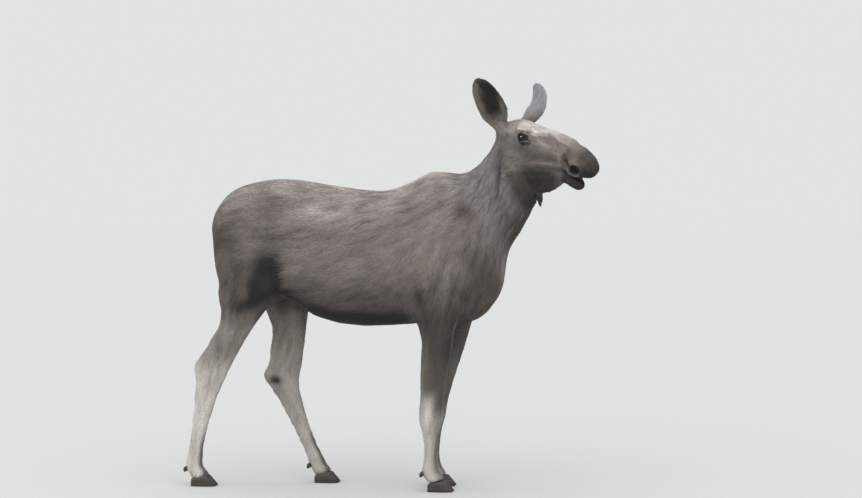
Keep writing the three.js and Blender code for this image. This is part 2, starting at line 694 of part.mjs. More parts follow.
// An ear is a leaf-shaped bowl: a stem that opens into a pointed blade, hollow towards `face`.
function addEar(side) {
  const foot = new THREE.Vector3(...inHead(...EAR_FOOT[side]));
  const middle = new THREE.Vector3(...EAR_MIDDLE[side]);
  const tip = new THREE.Vector3(...EAR_TIP[side]);
  const bend = middle.clone().multiplyScalar(2).sub(foot.clone().add(tip).multiplyScalar(0.5));
  const spine = new THREE.QuadraticBezierCurve3(foot, bend, tip);
  const steps = 10;
  const spokes = 6;
  const [outer, inner] = [[], []];
  for (let i = 0; i <= steps; i++) {
    const t = i / steps;
    const run = spine.getTangent(t);
    const across = new THREE.Vector3().crossVectors(new THREE.Vector3(...EAR_FACE[side]), run).normalize();
    const face = new THREE.Vector3().crossVectors(run, across).normalize();
    const opening = mix(EAR_STEM[side], 1, THREE.MathUtils.smoothstep(t, 0, 0.36));
    const leaf = opening * Math.sqrt(Math.max(0.03, 1 - t ** EAR_TAPER[side]));
    const wrap = mix(EAR_WRAP[side], 1.1, THREE.MathUtils.smoothstep(t, 0, 0.4));
    const turn = Math.min(wrap, Math.PI / 2);
    const radius = (EAR.halfWidth * leaf) / Math.sin(turn);
    for (let k = 0; k <= spokes; k++) {
      const angle = wrap * ((2 * k) / spokes - 1);
      const wall = EAR.wall * (0.45 + 0.55 * Math.sin((Math.PI * k) / spokes)) * (1 - 0.5 * t);
      const away = across.clone().multiplyScalar(Math.sin(angle)).addScaledVector(face, -Math.cos(angle));
      const axis = spine.getPoint(t).addScaledVector(face, Math.cos(turn) * radius);
      const at = axis.addScaledVector(away, radius);
      outer.push(at.clone().addScaledVector(away, wall / 2));
      inner.push(at.clone().addScaledVector(away, -wall / 2));
    }
  }
  const row = spokes + 1;
  const shift = outer.length;
  const faces = [];
  const quad = (a, b, c, d) => faces.push([a, b, c], [a, c, d]);
  for (let i = 0; i < steps; i++) {
    for (let k = 0; k < spokes; k++) {
      const a = i * row + k;
      quad(a, a + 1, a + 1 + row, a + row);
      quad(shift + a, shift + a + row, shift + a + 1 + row, shift + a + 1);
    }
    const [left, right] = [i * row, i * row + spokes];
    quad(left, left + row, shift + left + row, shift + left);
    quad(right, shift + right, shift + right + row, right + row);
  }
  for (let k = 0; k < spokes; k++) {
    const top = steps * row + k;
    quad(k, shift + k, shift + k + 1, k + 1);
    quad(top, top + 1, shift + top + 1, shift + top);
  }
  const blade = toSolid([...outer, ...inner], faces);
  const ear = blade.subtract(grown(solids.head)).subtract(grown(solids.neck));
  addPart(`${sideName[side]}_ear`, largest(ear), finishes.coat);
}

function addLeg(which, side) {
  const joints = (which === "hind" ? HIND_JOINTS : FORE_JOINTS)[side];
  const top = LEG_TOP[which];
  const fetlock = sided(joints.fetlock, side);
  const chain = which === "hind" ? [joints.hip, joints.stifle, joints.hock] : [joints.elbow, joints.knee];
  const stations = [...chain.map((p) => sided(p, side)), fetlock, shifted(fetlock, 40, 0, -92)];
  if (which === "fore") stations.unshift(shifted(stations[0], 30, 0, 240));
  // The leg's centre at a height: near its top it keeps under the sloping cut.
  const centreAt = (z) => {
    const k = Math.max(1, stations.findIndex((station) => station[2] <= z));
    const [a, b] = [stations[k - 1], stations[k]];
    const [x, y] = between(a, b, Math.min(1, Math.max(0, (z - a[2]) / (b[2] - a[2]))));
    const least = (z - top.height) / top.rise + top.out;
    return [z, side * Math.max(Math.abs(y), least + 6), -x];
  };
  const planes = [...legPlanes(which, side), coronet(fetlock)];
  const bend = stations[2][2];
  const heights = through([27, 110, bend - 160, bend - 20, bend + 110, 1130].map((z) => [z, 0, 0]));
  // Slices lie level: the slicing frame's X axis points up.
  const line = (t) => centreAt(heights(t)[0]);
  const solid = loft(keptTo(torsoAndLegs, planes, 40), levelSlices, line, 23, 14, 300, 0.6);
  addPart(`${sideName[side]}_${which}_leg`, solid.intersect(region(planes)), finishes.legCoat);
  addHooves(which, side, fetlock);
}

const levelSlices = new THREE.Matrix4().makeRotationY(-Math.PI / 2);

// Each foot has two claws side by side and two dewclaws behind the fetlock.
function addHooves(which, side, fetlock) {
  for (const inner of [-1, 1]) {
    const name = `${sideName[side]}_${which}_${inner === -side ? "inner" : "outer"}`;
    const claw = clawSolid(fetlock, inner).intersect(region([flipped(coronet(fetlock))]));
    addPart(`${name}_claw`, claw, finishes.horn);
    const dewclaw = dewclawSolid(fetlock, inner).subtract(grown(solids[`${sideName[side]}_${which}_leg`]));
    addPart(`${name}_dewclaw`, largest(dewclaw), finishes.horn);
  }
}

function clawSolid(fetlock, inner) {
  const back = fetlock[0] - CLAW.heelBack;
  const steps = 6;
  const rays = 8;
  const points = [];
  const faces = [];
  for (let i = 0; i <= steps; i++) {
    const t = i / steps;
    // Wide behind, drawn in to a blunt toe that curves towards its neighbour
    const half = (CLAW.width / 2) * Math.sqrt(Math.max(0.05, 1 - (Math.abs(t - 0.34) / 0.68) ** 2.4));
    const middle = fetlock[1] + inner * ((CLAW.cleft + CLAW.width) / 2 - 5 * t * t);
    const tall = Math.min(104, CLAW.toeHeight + CLAW.toeSlope * CLAW.length * (1 - t));
    const x = back + CLAW.length * t;
    for (let k = 0; k < rays; k++) {
      const angle = (Math.PI * 2 * (k + 0.5)) / rays;
      const [c, s] = [Math.cos(angle), Math.sin(angle)];
      const square = 1 / Math.max(Math.abs(c), Math.abs(s)) ** 0.55;
      const z = s < 0 ? 0 : tall * Math.min(1, s * square);
      const lean = 1 - (0.16 * z) / 64;
      const y = middle + half * Math.min(1, Math.abs(c) * square) * Math.sign(c) * lean;
      points.push(new THREE.Vector3(x, y, z));
    }
  }
  for (const i of [0, steps]) {
    const ring = points.slice(i * rays, (i + 1) * rays);
    points.push(ring.reduce((sum, p) => sum.add(p), new THREE.Vector3()).divideScalar(rays));
  }
  for (let i = 0; i < steps; i++) {
    for (let k = 0; k < rays; k++) {
      const [a, b] = [i * rays + k, i * rays + ((k + 1) % rays)];
      faces.push([a, b, b + rays], [a, b + rays, a + rays]);
    }
  }
  for (let k = 0; k < rays; k++) {
    const next = (k + 1) % rays;
    faces.push([points.length - 2, next, k], [points.length - 1, steps * rays + k, steps * rays + next]);
  }
  return toSolid(points, faces);
}

function dewclawSolid(fetlock, inner) {
  const cone = new THREE.SphereGeometry(1, 6, 4);
  const place = new THREE.Vector3(...shifted(fetlock, -DEWCLAW.back, inner * DEWCLAW.out, -DEWCLAW.drop));
  const turn = new THREE.Quaternion().setFromEuler(new THREE.Euler(0, 0.45, 0));
  const size = new THREE.Vector3(DEWCLAW.radius, DEWCLAW.radius * 0.9, DEWCLAW.length / 2);
  return solidOf(cone, new THREE.Matrix4().compose(place, turn, size));
}

// The tail is short and lies flat against the rump.
function addTail() {
  const form = limb([
    [-722, 0, 1516, 26, 30],
    [-748, 0, 1466, 24, 26],
    [-764, 0, 1404, 11, 13],
  ]);
  const frame = new THREE.Matrix4().makeRotationY(Math.PI / 2).setPosition(-722, 0, 1516);
  const tail = loft(form, frame, (t) => [mix(-30, 120, t), 0, -0.4 * mix(-30, 120, t)], 9, 8, 60, 0.9);
  addPart("tail", largest(tail.subtract(grown(solids.trunk))), finishes.coat);
}

addTrunk();
addNeck();
addHead();
addJaw();
addBell();
addEar(RIGHT);
addEar(LEFT);
for (const which of ["fore", "hind"]) for (const side of [RIGHT, LEFT]) addLeg(which, side);
addTail();

// The origin is the middle of the footprint's bounding box, on the ground.
const bounds = new THREE.Box3().setFromObject(moose);
moose.position.set(-(bounds.min.x + bounds.max.x) / 2, -(bounds.min.y + bounds.max.y) / 2, 0);
moose.updateMatrixWorld(true);

export default moose;
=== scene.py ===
"""A young cow moose, life size: one skin with its coat of hair, eyes and hooves.

Lengths are millimetres in the animal's own frame: +X forward, +Y to its left, +Z up, with
z = 0 on the ground. `metres` turns them into the part's frame when a mesh is made.
"""
import math

import bmesh
import bpy
import numpy as np
from mathutils import Matrix, Vector
from mathutils.bvhtree import BVHTree


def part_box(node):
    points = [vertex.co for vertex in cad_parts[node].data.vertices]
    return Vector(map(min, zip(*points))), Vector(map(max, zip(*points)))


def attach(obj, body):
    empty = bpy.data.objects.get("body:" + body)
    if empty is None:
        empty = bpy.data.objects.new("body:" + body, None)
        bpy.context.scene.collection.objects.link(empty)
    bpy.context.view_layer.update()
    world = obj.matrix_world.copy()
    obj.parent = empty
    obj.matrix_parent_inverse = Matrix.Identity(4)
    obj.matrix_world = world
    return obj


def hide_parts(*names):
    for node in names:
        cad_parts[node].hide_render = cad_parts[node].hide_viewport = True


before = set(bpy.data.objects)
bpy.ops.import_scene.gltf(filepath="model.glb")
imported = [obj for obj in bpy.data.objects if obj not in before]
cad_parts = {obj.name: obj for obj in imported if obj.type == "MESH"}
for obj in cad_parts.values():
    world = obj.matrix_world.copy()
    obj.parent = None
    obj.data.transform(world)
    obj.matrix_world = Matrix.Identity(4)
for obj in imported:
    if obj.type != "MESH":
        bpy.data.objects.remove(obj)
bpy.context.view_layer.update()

RIGHT, LEFT = -1, 1
SIDES = (RIGHT, LEFT)
SIDE_NAME = {RIGHT: "right", LEFT: "left"}

# ---------------------------------------------------------------- frames

POLL = np.array([913.0, -45.0, 1985.0])
HEAD_TURN, HEAD_DIP, HEAD_ROLL = (math.radians(angle) for angle in (-33, 20, 5))
HEAD_AXES = np.array(
    Matrix.Rotation(HEAD_TURN, 3, "Z")
    @ Matrix.Rotation(HEAD_DIP, 3, "Y")
    @ Matrix.Rotation(HEAD_ROLL, 3, "X")
)
EYE_U, EYE_V, EYE_W = 142.0, 85.0, -42.0
EYE_SUNK = 3.0  # the eyeball's middle lies this much deeper than the solid's


def in_head(points):
    """Points in the head's frame: u towards the nose, v to the left, w up from the poll."""
    return (points - POLL) @ HEAD_AXES


def from_head(points):
    return POLL + np.asarray(points, float) @ HEAD_AXES.T


def node_centre(name):
    low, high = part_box(name)
    return np.array((low + high) / 2) * 1000


EYES_MIDDLE = (node_centre("right_eye") + node_centre("left_eye")) / 2
ORIGIN = EYES_MIDDLE - from_head([EYE_U, 0, EYE_W])


def metres(points):
    return (points + ORIGIN) / 1000


def millimetres(points):
    return points * 1000 - ORIGIN


# ---------------------------------------------------------------- small tools


def rise(value, low, high):
    """0 below low, 1 above high, and a smooth step between; low may be above high."""
    t = np.clip((value - low) / (high - low), 0, 1)
    return t * t * (3 - 2 * t)


def ball(points, centre, radii):
    """1 at the centre, fading to nothing at about twice the radii."""
    return np.exp(-(((points - np.asarray(centre, float)) / radii) ** 2).sum(1))


def distance_to(points, path):
    """Distance from each point to a broken line, and how far along the line that is, 0 to 1."""
    path = np.asarray(path, float)
    runs = np.linalg.norm(np.diff(path, axis=0), axis=1)
    starts = np.concatenate([[0], np.cumsum(runs)])
    best = np.full(len(points), 1e9)
    place = np.zeros(len(points))
    for a, b, run, start in zip(path[:-1], path[1:], runs, starts):
        t = np.clip(((points - a) @ (b - a)) / run**2, 0, 1)
        gap = np.linalg.norm(points - (a + t[:, None] * (b - a)), axis=1)
        nearer = gap < best
        best[nearer] = gap[nearer]
        place[nearer] = (start + t[nearer] * run) / starts[-1]
    return best, place


def stroke(points, path, width, fade=0.3):
    """1 on a broken line, fading across its width, and out towards both ends."""
    gap, place = distance_to(points, path)
    return np.exp(-((gap / width) ** 2)) * rise(place, 0, fade) * rise(place, 1, 1 - fade)


def noise(points, size, seed):
    """Smooth random values from -1 to 1 that change over about `size`."""
    cell = points / size + 37.1 * (seed + 1)
    base = np.floor(cell).astype(np.int64)
    part = cell - base
    part = part * part * (3 - 2 * part)
    total = np.zeros(len(points))
    for corner in range(8):
        step = np.array([corner & 1, corner >> 1 & 1, corner >> 2 & 1])
        x, y, z = ((base + step) * (73856093, 19349663, 83492791)).T
        mixed = (x ^ y ^ z) & 0x7FFFFFFF
        mixed = (mixed ^ mixed >> 13) * 1274126177 & 0x7FFFFFFF
        value = (mixed ^ mixed >> 16 & 0x7FFF) / 0x3FFFFFFF - 1
        total += value * np.where(step, part, 1 - part).prod(1)
    return total


def unit(vectors):
    return vectors / np.maximum(np.linalg.norm(vectors, axis=1, keepdims=True), 1e-9)


def corners_of(mesh):
    points = np.empty(len(mesh.vertices) * 3, np.float32)
    mesh.vertices.foreach_get("co", points)
    return points.reshape(-1, 3).astype(float)


def triangles_of(mesh):
    mesh.calc_loop_triangles()
    triangles = np.empty(len(mesh.loop_triangles) * 3, np.int32)
    mesh.loop_triangles.foreach_get("vertices", triangles)
    return triangles.reshape(-1, 3)


def normals_of(points, triangles):
    a, b, c = (points[triangles[:, k]] for k in range(3))
    faces = np.cross(b - a, c - a)
    total = np.zeros_like(points)
    for k in range(3):
        for axis in range(3):
            total[:, axis] += np.bincount(triangles[:, k], faces[:, axis], len(points))
    return unit(total)


def welded(points, triangles):
    """The same triangles with corners at the same place joined."""
    _, first, which = np.unique(np.round(points, 2), axis=0, return_index=True, return_inverse=True)
    return points[first], which.reshape(-1)[triangles]


def placed(name, data):
    """A new object in the scene, from a mesh, a lamp or a camera."""
    thing = bpy.data.objects.new(name, data)
    bpy.context.scene.collection.objects.link(thing)
    return thing


def add_piece(mesh, material, slot, *replaced):
    """A piece of the model on its one body, in the stead of the nodes named."""
    piece = placed(mesh.name, mesh)
    mesh.materials.append(material)
    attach(piece, "root")
    if replaced:
        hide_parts(*replaced)


def new_mesh(name, points, triangles):
    """A smooth-shaded mesh of triangles, given in millimetres."""
    mesh = bpy.data.meshes.new(name)
    mesh.vertices.add(len(points))
    mesh.vertices.foreach_set("co", metres(points).astype(np.float32).ravel())
    mesh.loops.add(triangles.size)
    mesh.loops.foreach_set("vertex_index", triangles.astype(np.int32).ravel())
    mesh.polygons.add(len(triangles))
    mesh.polygons.foreach_set("loop_start", np.arange(0, triangles.size, 3, dtype=np.int32))
    mesh.update(calc_edges=True)
    mesh.polygons.foreach_set("use_smooth", np.ones(len(triangles), bool))
    return mesh


# Joints of the legs from the top down, as seen from the side: x and z
JOINTS = {
    ("fore", RIGHT): dict(elbow=(480, 990), knee=(466, 418), fetlock=(461, 118)),
    ("fore", LEFT): dict(elbow=(542, 990), knee=(444, 414), fetlock=(438, 118)),
    ("hind", RIGHT): dict(hip=(-560, 1400), stifle=(-415, 1060), hock=(-754, 592), fetlock=(-844, 118)),
    ("hind", LEFT): dict(hip=(-560, 1400), stifle=(-328, 1090), hock=(-402, 545), fetlock=(-212, 118)),
}

# ---------------------------------------------------------------- the skin's first shape

FLESH = [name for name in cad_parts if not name.endswith(("claw", "eye"))]
ZOOM_CENTRE = np.array([1030.0, -60.0, 1930.0])  # in the middle of the head and ears
ZOOM_RADIUS = 500.0
ZOOM, FAR_ZOOM = 2.9, 0.78  # inside that radius, and for what lies beyond it
VOXEL = 0.0160
OVERLAP = 1.5  # each node grows by this, so that the thin cuts between nodes close
EAR_OVERLAP = 2.5  # more on the ears, whose blades are thin


def enlarged(points):
    """Space with the head and ears magnified, so that even voxels are finer there."""
    away = points - ZOOM_CENTRE
    far = np.linalg.norm(away, axis=1, keepdims=True)
    beyond = ZOOM * ZOOM_RADIUS + FAR_ZOOM * (far - ZOOM_RADIUS)
    new = np.where(far < ZOOM_RADIUS, ZOOM * far, beyond)
    return ZOOM_CENTRE + away * new / np.maximum(far, 1e-6)


def reduced(points):
    """The way back from `enlarged`."""
    away = points - ZOOM_CENTRE
    far = np.linalg.norm(away, axis=1, keepdims=True)
    beyond = ZOOM_RADIUS + (far - ZOOM * ZOOM_RADIUS) / FAR_ZOOM
    old = np.where(far < ZOOM * ZOOM_RADIUS, far / ZOOM, beyond)
    return ZOOM_CENTRE + away * old / np.maximum(far, 1e-6)


def flesh_surface():
    """All nodes of flesh as one list of corners and triangles, with each triangle's node."""
    points, triangles, owners, count = [], [], [], 0
    for index, name in enumerate(FLESH):
        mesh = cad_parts[name].data
        corners, faces = welded(millimetres(corners_of(mesh)), triangles_of(mesh))
        growth = EAR_OVERLAP if name.endswith("ear") else OVERLAP
        corners = corners + growth * normals_of(corners, faces)
        points.append(corners)
        triangles.append(faces + count)
        owners.append(np.full(len(faces), index))
        count += len(corners)
    return np.concatenate(points), np.concatenate(triangles), np.concatenate(owners)


def remeshed(points, triangles, voxel=VOXEL, zoomed=True):
    """One closed surface of even faces round all the given solids."""
    mesh = new_mesh("flesh", enlarged(points) if zoomed else points, triangles)
    piece = placed("flesh", mesh)
    modifier = piece.modifiers.new("remesh", "REMESH")
    modifier.mode = "VOXEL"
    modifier.voxel_size = voxel
    solid = piece.evaluated_get(bpy.context.evaluated_depsgraph_get())
    result = bpy.data.meshes.new_from_object(solid)
    bpy.data.objects.remove(piece)
    bpy.data.meshes.remove(mesh)
    corners = millimetres(corners_of(result))
    corners = reduced(corners) if zoomed else corners
    result.vertices.foreach_set("co", corners.astype(np.float32).ravel())
    return result


def refined(mesh, places):
    """Splits the faces near each (centre, radius) in two both ways, once for each time it is listed."""
    work = bmesh.new()
    work.from_mesh(mesh)
    for centre, radius in places:
        centre = Vector(centre)
        near = {
            edge
            for vertex in work.verts
            if (vertex.co - centre).length < radius
            for edge in vertex.link_edges
        }
        near = sorted(near, key=lambda edge: edge.index)
        bmesh.ops.subdivide_edges(work, edges=near, cuts=1, use_grid_fill=True)
        work.verts.index_update()
        work.edges.index_update()
    bmesh.ops.triangulate(work, faces=work.faces[:])
    work.to_mesh(mesh)
    work.free()


class Skin:
    """The skin's corners and triangles, and the neighbours that smoothing needs."""

    def __init__(self, mesh):
        self.points = corners_of(mesh)
        self.triangles = triangles_of(mesh)
        pairs = np.concatenate([self.triangles[:, [k, (k + 1) % 3]] for k in range(3)])
        pairs = np.unique(np.sort(pairs, axis=1), axis=0)
        self.one, self.other = pairs.T
        self.degree = np.bincount(pairs.ravel(), minlength=len(self.points))

    def averaged(self, values):
        """The mean of each corner's neighbours."""
        values = values.reshape(len(self.points), -1)
        total = np.empty_like(values, float)
        for k in range(values.shape[1]):
            total[:, k] = np.bincount(self.one, values[self.other, k], len(self.points))
            total[:, k] += np.bincount(self.other, values[self.one, k], len(self.points))
        return total / np.maximum(self.degree, 1)[:, None]

    def blurred(self, values, rounds):
        values = np.asarray(values, float)
        shape = values.shape
        values = values.reshape(len(self.points), -1)
        for _ in range(rounds):
            values = 0.5 * values + 0.5 * self.averaged(values)
        return values.reshape(shape)

    def relax(self, rounds, share):
        """Smooths the surface without shrinking it: each step in is followed by one out."""
        for _ in range(rounds):
            for step in (0.55, -0.57):
                move = self.averaged(self.points) - self.points
                self.points += step * share[:, None] * move

    def even(self, rounds, share):
        """Plain smoothing, which takes out the flats of the solids and draws the form in a little."""
        for _ in range(rounds):
            self.points += 0.5 * share[:, None] * (self.averaged(self.points) - self.points)

    def normals(self):
        return normals_of(self.points, self.triangles)

    def lift(self, height):
        self.points += self.normals() * np.asarray(height)[:, None]


surface_points, surface_triangles, surface_owner = flesh_surface()
first = remeshed(surface_points, surface_triangles)
eye_place = {side: from_head([EYE_U, side * (EYE_V - EYE_SUNK), EYE_W]) for side in SIDES}
nostril_place = {side: from_head([490, side * 62, -92]) for side in SIDES}
fine_places = [(eye_place[side], radius) for side in SIDES for radius in (60, 40, 28)]
fine_places += [(nostril_place[side], radius) for side in SIDES for radius in (64, 40)]
refined(first, fine_places)
skin = Skin(first)
bpy.data.meshes.remove(first)

nodes_tree = BVHTree.FromPolygons(surface_points.tolist(), surface_triangles.tolist())
owner = np.array([surface_owner[nodes_tree.find_nearest(p)[2]] for p in skin.points.tolist()])


def of_node(*names):
    return np.isin(owner, [FLESH.index(name) for name in names]).astype(float)


is_ear = skin.blurred(of_node("right_ear", "left_ear"), 2)
is_head = skin.blurred(of_node("head", "lower_jaw"), 3)
is_bell = skin.blurred(of_node("bell"), 3)
is_tail = skin.blurred(of_node("tail"), 3)
is_neck = skin.blurred(of_node("neck"), 6)
is_leg = {
    (which, side): skin.blurred(of_node(f"{SIDE_NAME[side]}_{which}_leg"), 8) for which, side in JOINTS
}
is_any_leg = np.clip(sum(is_leg.values()), 0, 1)
# Wide edges, for colours and lengths of hair that fade into each other
wide_head = skin.blurred(of_node("head", "lower_jaw"), 22)
wide_neck = skin.blurred(of_node("neck"), 26)
small_parts = np.clip(is_head + is_ear + is_bell + is_tail, 0, 1)


def seams():
    """1 where two nodes of the body or the jaw's rear meet, fading out beside it."""
    total = np.zeros(len(skin.points))
    u, _, w = in_head(skin.points).T
    back_of_jaw = rise(u, 390, 340) * rise(w, -140, -170)
    for name in FLESH:
        if name.endswith("ear") or name == "bell":
            continue
        share = skin.blurred(of_node(name), 6)
        total += 4 * share * (1 - share) * (back_of_jaw if name in ("head", "lower_jaw") else 1)
    return np.clip(total, 0, 1)


is_trunk = np.clip(1 - small_parts - is_neck - sum(is_leg.values()), 0, 1)
skin.relax(14, np.ones(len(skin.points)))
skin.even(12, seams())
skin.relax(30, np.clip(1 - is_head - is_bell, 0, 1))
skin.even(26, is_trunk)
skin.even(12, is_neck)
skin.even(3, is_ear)
skin.relax(20, np.clip(is_trunk + is_neck + is_ear, 0, 1))
skin.relax(30, is_ear)
# The head turns away from the left side, where the cheek runs smoothly into the neck.
skin.even(50, np.clip(5 * wide_head * wide_neck, 0, 1) * rise(in_head(skin.points)[:, 1], 20, 60))

# ---------------------------------------------------------------- modelling the skin

# How deep the coat is on each part: the skin lies this far under the solids
COAT_DEPTH = dict(trunk=7.0, neck=9.0, leg=5.0, head=4.0, ear=2.2, bell=6.0, tail=7.0)

# Folds and swellings on each flank, mirrored: height, width, and a line of (x, z)
FLANK_FORMS = [
    (-11, 18, [(-337, 1070), (-317, 1150), (-313, 1240), (-283, 1320)]),  # behind the belly
    (5, 26, [(-290, 1050), (-272, 1150), (-266, 1240), (-236, 1310)]),
    (-4, 20, [(-565, 1476), (-530, 1350), (-485, 1222)]),  # between the thigh's muscles
    (-8, 14, [(36, 1488), (85, 1520), (150, 1560)]),  # short fold in the loin
    (6, 16, [(40, 1514), (85, 1547), (140, 1582)]),
    (-6, 24, [(420, 1230), (401, 1130), (397, 1040), (427, 960)]),  # behind the upper arm
    (5, 45, [(505, 1090), (485, 1190), (535, 1290)]),  # the upper arm's muscle
    (-5, 26, [(690, 1600), (735, 1470), (780, 1340), (805, 1230)]),  # neck meets shoulder
    (5, 34, [(625, 1640), (655, 1520), (700, 1400), (735, 1290)]),  # front of the shoulder
    (-4, 28, [(515, 1660), (465, 1540), (455, 1420), (465, 1330)]),  # behind the shoulder blade
    (6, 34, [(-435, 1650), (-385, 1610), (-345, 1560)]),  # point of the hip
    (-5, 40, [(-265, 1600), (-205, 1500), (-225, 1400)]),  # hollow of the flank
    (-6, 22, [(675, 1130), (725, 1060), (755, 960)]),  # chest beside the fore leg
]

# Folds and swellings on each side of the head, mirrored: height, width, and a line of (u, w)
HEAD_FORMS = [
    (7, 12, [(104, -14), (124, -2), (150, 4), (184, 0)]),  # brow
    (-4, 5, [(90, 6), (114, 18), (150, 20)]),  # wrinkles over the brow
    (5, 7, [(82, 22), (112, 36), (150, 36)]),
    (-4, 5, [(68, 12), (84, 38), (112, 54)]),
    (-4, 8, [(34, -48), (30, -90), (34, -125)]),  # fold under the ear
    (5, 14, [(96, -42), (62, -46), (26, -52)]),  # arch of bone behind the eye
    (-4, 6, [(106, -30), (126, -18), (152, -12), (182, -10)]),  # fold over the upper lid
    (-3.5, 6, [(116, -70), (140, -78), (168, -78), (190, -84)]),  # fold under the eye
    (3.5, 8, [(108, -84), (140, -93), (172, -95)]),
    (-4, 8, [(176, -54), (196, -66), (214, -84)]),  # the tear's path
    (-6, 28, [(176, -106), (262, -100), (330, -84), (380, -60)]),  # hollow of the cheek
    (5, 8, [(222, -150), (276, -142), (330, -129), (430, -116)]),  # the upper lip's edge
    (-4, 9, [(410, -136), (350, -150), (296, -162), (236, -172)]),  # below that edge
    (7, 40, [(120, -190), (170, -220), (250, -215)]),  # the jaw's muscle
    (-8, 13, [(378, -10), (378, -52), (390, -92), (408, -120)]),  # behind the muzzle
    (10, 20, [(424, -20), (428, -62), (444, -102)]),  # the muzzle's rear bulge
    (6, 15, [(470, -62), (500, -72), (530, -84)]),  # wing of the nostril
    (8, 8, [(450, -102), (460, -120), (484, -131), (516, -130), (542, -110)]),  # the nostril's rim
    (-10, 5, [(438, -56), (448, -78), (464, -96), (488, -104)]),  # the nostril's slit
    (-4, 10, [(536, -60), (552, -84), (556, -108)]),  # between nostril and lip
    (5, 14, [(250, 12), (320, 16), (390, 10)]),  # edge of the nose's bridge
    (-5, 18, [(200, -22), (260, -32), (330, -36)]),  # side of the nose under it
    (5, 9, [(420, -160), (470, -158), (520, -160)]),  # edge of the lower lip
    (-4, 9, [(420, -176), (470, -178), (510, -176)]),
]


def facing(normals, side, axis):
    """1 where the surface looks towards that side, 0 where it looks up, down or away."""
    return rise(side * (normals @ axis), 0.1, 0.45)


def modelled(points, normals):
    """Height of all folds and swellings over the plain form."""
    height = np.zeros(len(points))
    body = np.clip(1 - small_parts, 0, 1)
    flank, cheek = points[:, [0, 2]], in_head(points)[:, [0, 2]]
    across = np.array([0.0, 1.0, 0.0])
    for side in SIDES:
        on_body = body * facing(normals, side, across) * rise(side * points[:, 1], -20, 40)
        for size, width, line in FLANK_FORMS:
            height += size * stroke(flank, line, width) * on_body
        on_head = is_head * facing(normals, side, HEAD_AXES[:, 1])
        for size, width, line in HEAD_FORMS:
            height += size * stroke(cheek, line, width) * on_head
    # The head is turned to the right, so the neck's skin folds behind that cheek.
    right = facing(normals, RIGHT, across) * (1 - is_ear)
    crease = [(843, 1880), (842, 1780), (840, 1700), (832, 1620), (820, 1550)]
    height -= 12 * right * stroke(flank, crease, 13)
    height += 6 * right * stroke(flank, [(812, 1800), (808, 1710), (800, 1620)], 15)
    height -= 5 * right * stroke(flank, [(778, 1740), (770, 1640), (778, 1520)], 16)
    # From the side, the nose's line dips between the poll and the full front of the muzzle.
    head = in_head(points)
    upper = is_head * rise(normals @ HEAD_AXES[:, 2], 0.3, 0.8)
    height -= 12 * upper * rise(head[:, 0], 70, 150) * rise(head[:, 0], 490, 415)
    height += 6 * upper * ball(head[:, [0, 2]], (30, 30), (60, 50))
    front = is_head * rise(normals @ (HEAD_AXES[:, 0] + HEAD_AXES[:, 2]), 0.3, 0.9)
    height += 11 * front * ball(head[:, [0, 2]], (555, -20), (80, 60))
    return height + leg_forms(points, normals)


def leg_line(start, end, places):
    """A line of (x, z) beside a bone: each place is a share of the way and a distance behind it."""
    start, end = np.array(start, float), np.array(end, float)
    way = (end - start) / np.linalg.norm(end - start)
    behind = np.array([way[1], -way[0]])
    return [start + share * (end - start) + back * behind for share, back in places]


def leg_forms(points, normals):
    """Height of the legs' muscles, joints, tendons and of the skin over the dewclaws."""
    height = np.zeros(len(points))
    flank = points[:, [0, 2]]
    sideways = rise(np.abs(normals[:, 1]), 0.2, 0.6)
    for side in SIDES:
        leg, on = JOINTS["hind", side], is_leg["hind", side] * sideways
        hollow = leg_line(leg["stifle"], leg["hock"], [(0.58, 98), (0.71, 64), (0.86, 45), (0.97, 29)])
        height -= 5 * on * stroke(flank, hollow, 14)
        bone = leg_line(leg["stifle"], leg["hock"], [(0.2, 0), (0.6, 12), (0.95, 18)])
        height += 3 * on * stroke(flank, bone, 22)
        height += 4 * on * ball(flank, leg["hock"], (30, 34))
        tendon = leg_line(leg["hock"], leg["fetlock"], [(0.12, 16), (0.5, 9), (0.88, 10)])
        height -= 3 * on * stroke(flank, tendon, 7)
        height += 4 * on * ball(flank, leg["fetlock"], (24, 24))
        leg, on = JOINTS["fore", side], is_leg["fore", side] * sideways
        muscle = leg_line(leg["elbow"], leg["knee"], [(0.0, 10), (0.3, 0), (0.7, 4)])
        height += 4 * on * stroke(flank, muscle, 30)
        split = leg_line(leg["elbow"], leg["knee"], [(0.1, 42), (0.45, 26), (0.9, 22)])
        height -= 4 * on * stroke(flank, split, 9)
        height += 5 * on * ball(flank, leg["knee"], (26, 44))
        tendon = leg_line(leg["knee"], leg["fetlock"], [(0.14, 14), (0.5, 8), (0.88, 10)])
        height -= 3 * on * stroke(flank, tendon, 6)
        height += 4 * on * ball(flank, leg["fetlock"], (22, 24))
    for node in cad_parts:
        if node.endswith("dewclaw"):
            height += 9 * ball(points, node_centre(node) - ORIGIN, (24, 20, 26))
    return height


def depth_of_coat():
    """How far the skin sinks under the solids, less near the hooves."""
    others = dict(neck=is_neck, leg=is_any_leg, head=is_head, ear=is_ear, bell=is_bell, tail=is_tail)
    rest = np.clip(1 - sum(others.values()), 0, 1)
    depth = rest * COAT_DEPTH["trunk"] + sum(share * COAT_DEPTH[name] for name, share in others.items())
    depth = skin.blurred(depth / (rest + sum(others.values())), 6)
    return depth * (1 - 0.7 * rise(skin.points[:, 2], 110, 80))


skin.lift(-depth_of_coat())
forms = modelled(skin.points, skin.normals())
coarse = np.clip(1 - is_head, 0, 1)
skin.lift(forms + (skin.blurred(forms, 6) - forms) * coarse)

# ---------------------------------------------------------------- eyelids and nostrils

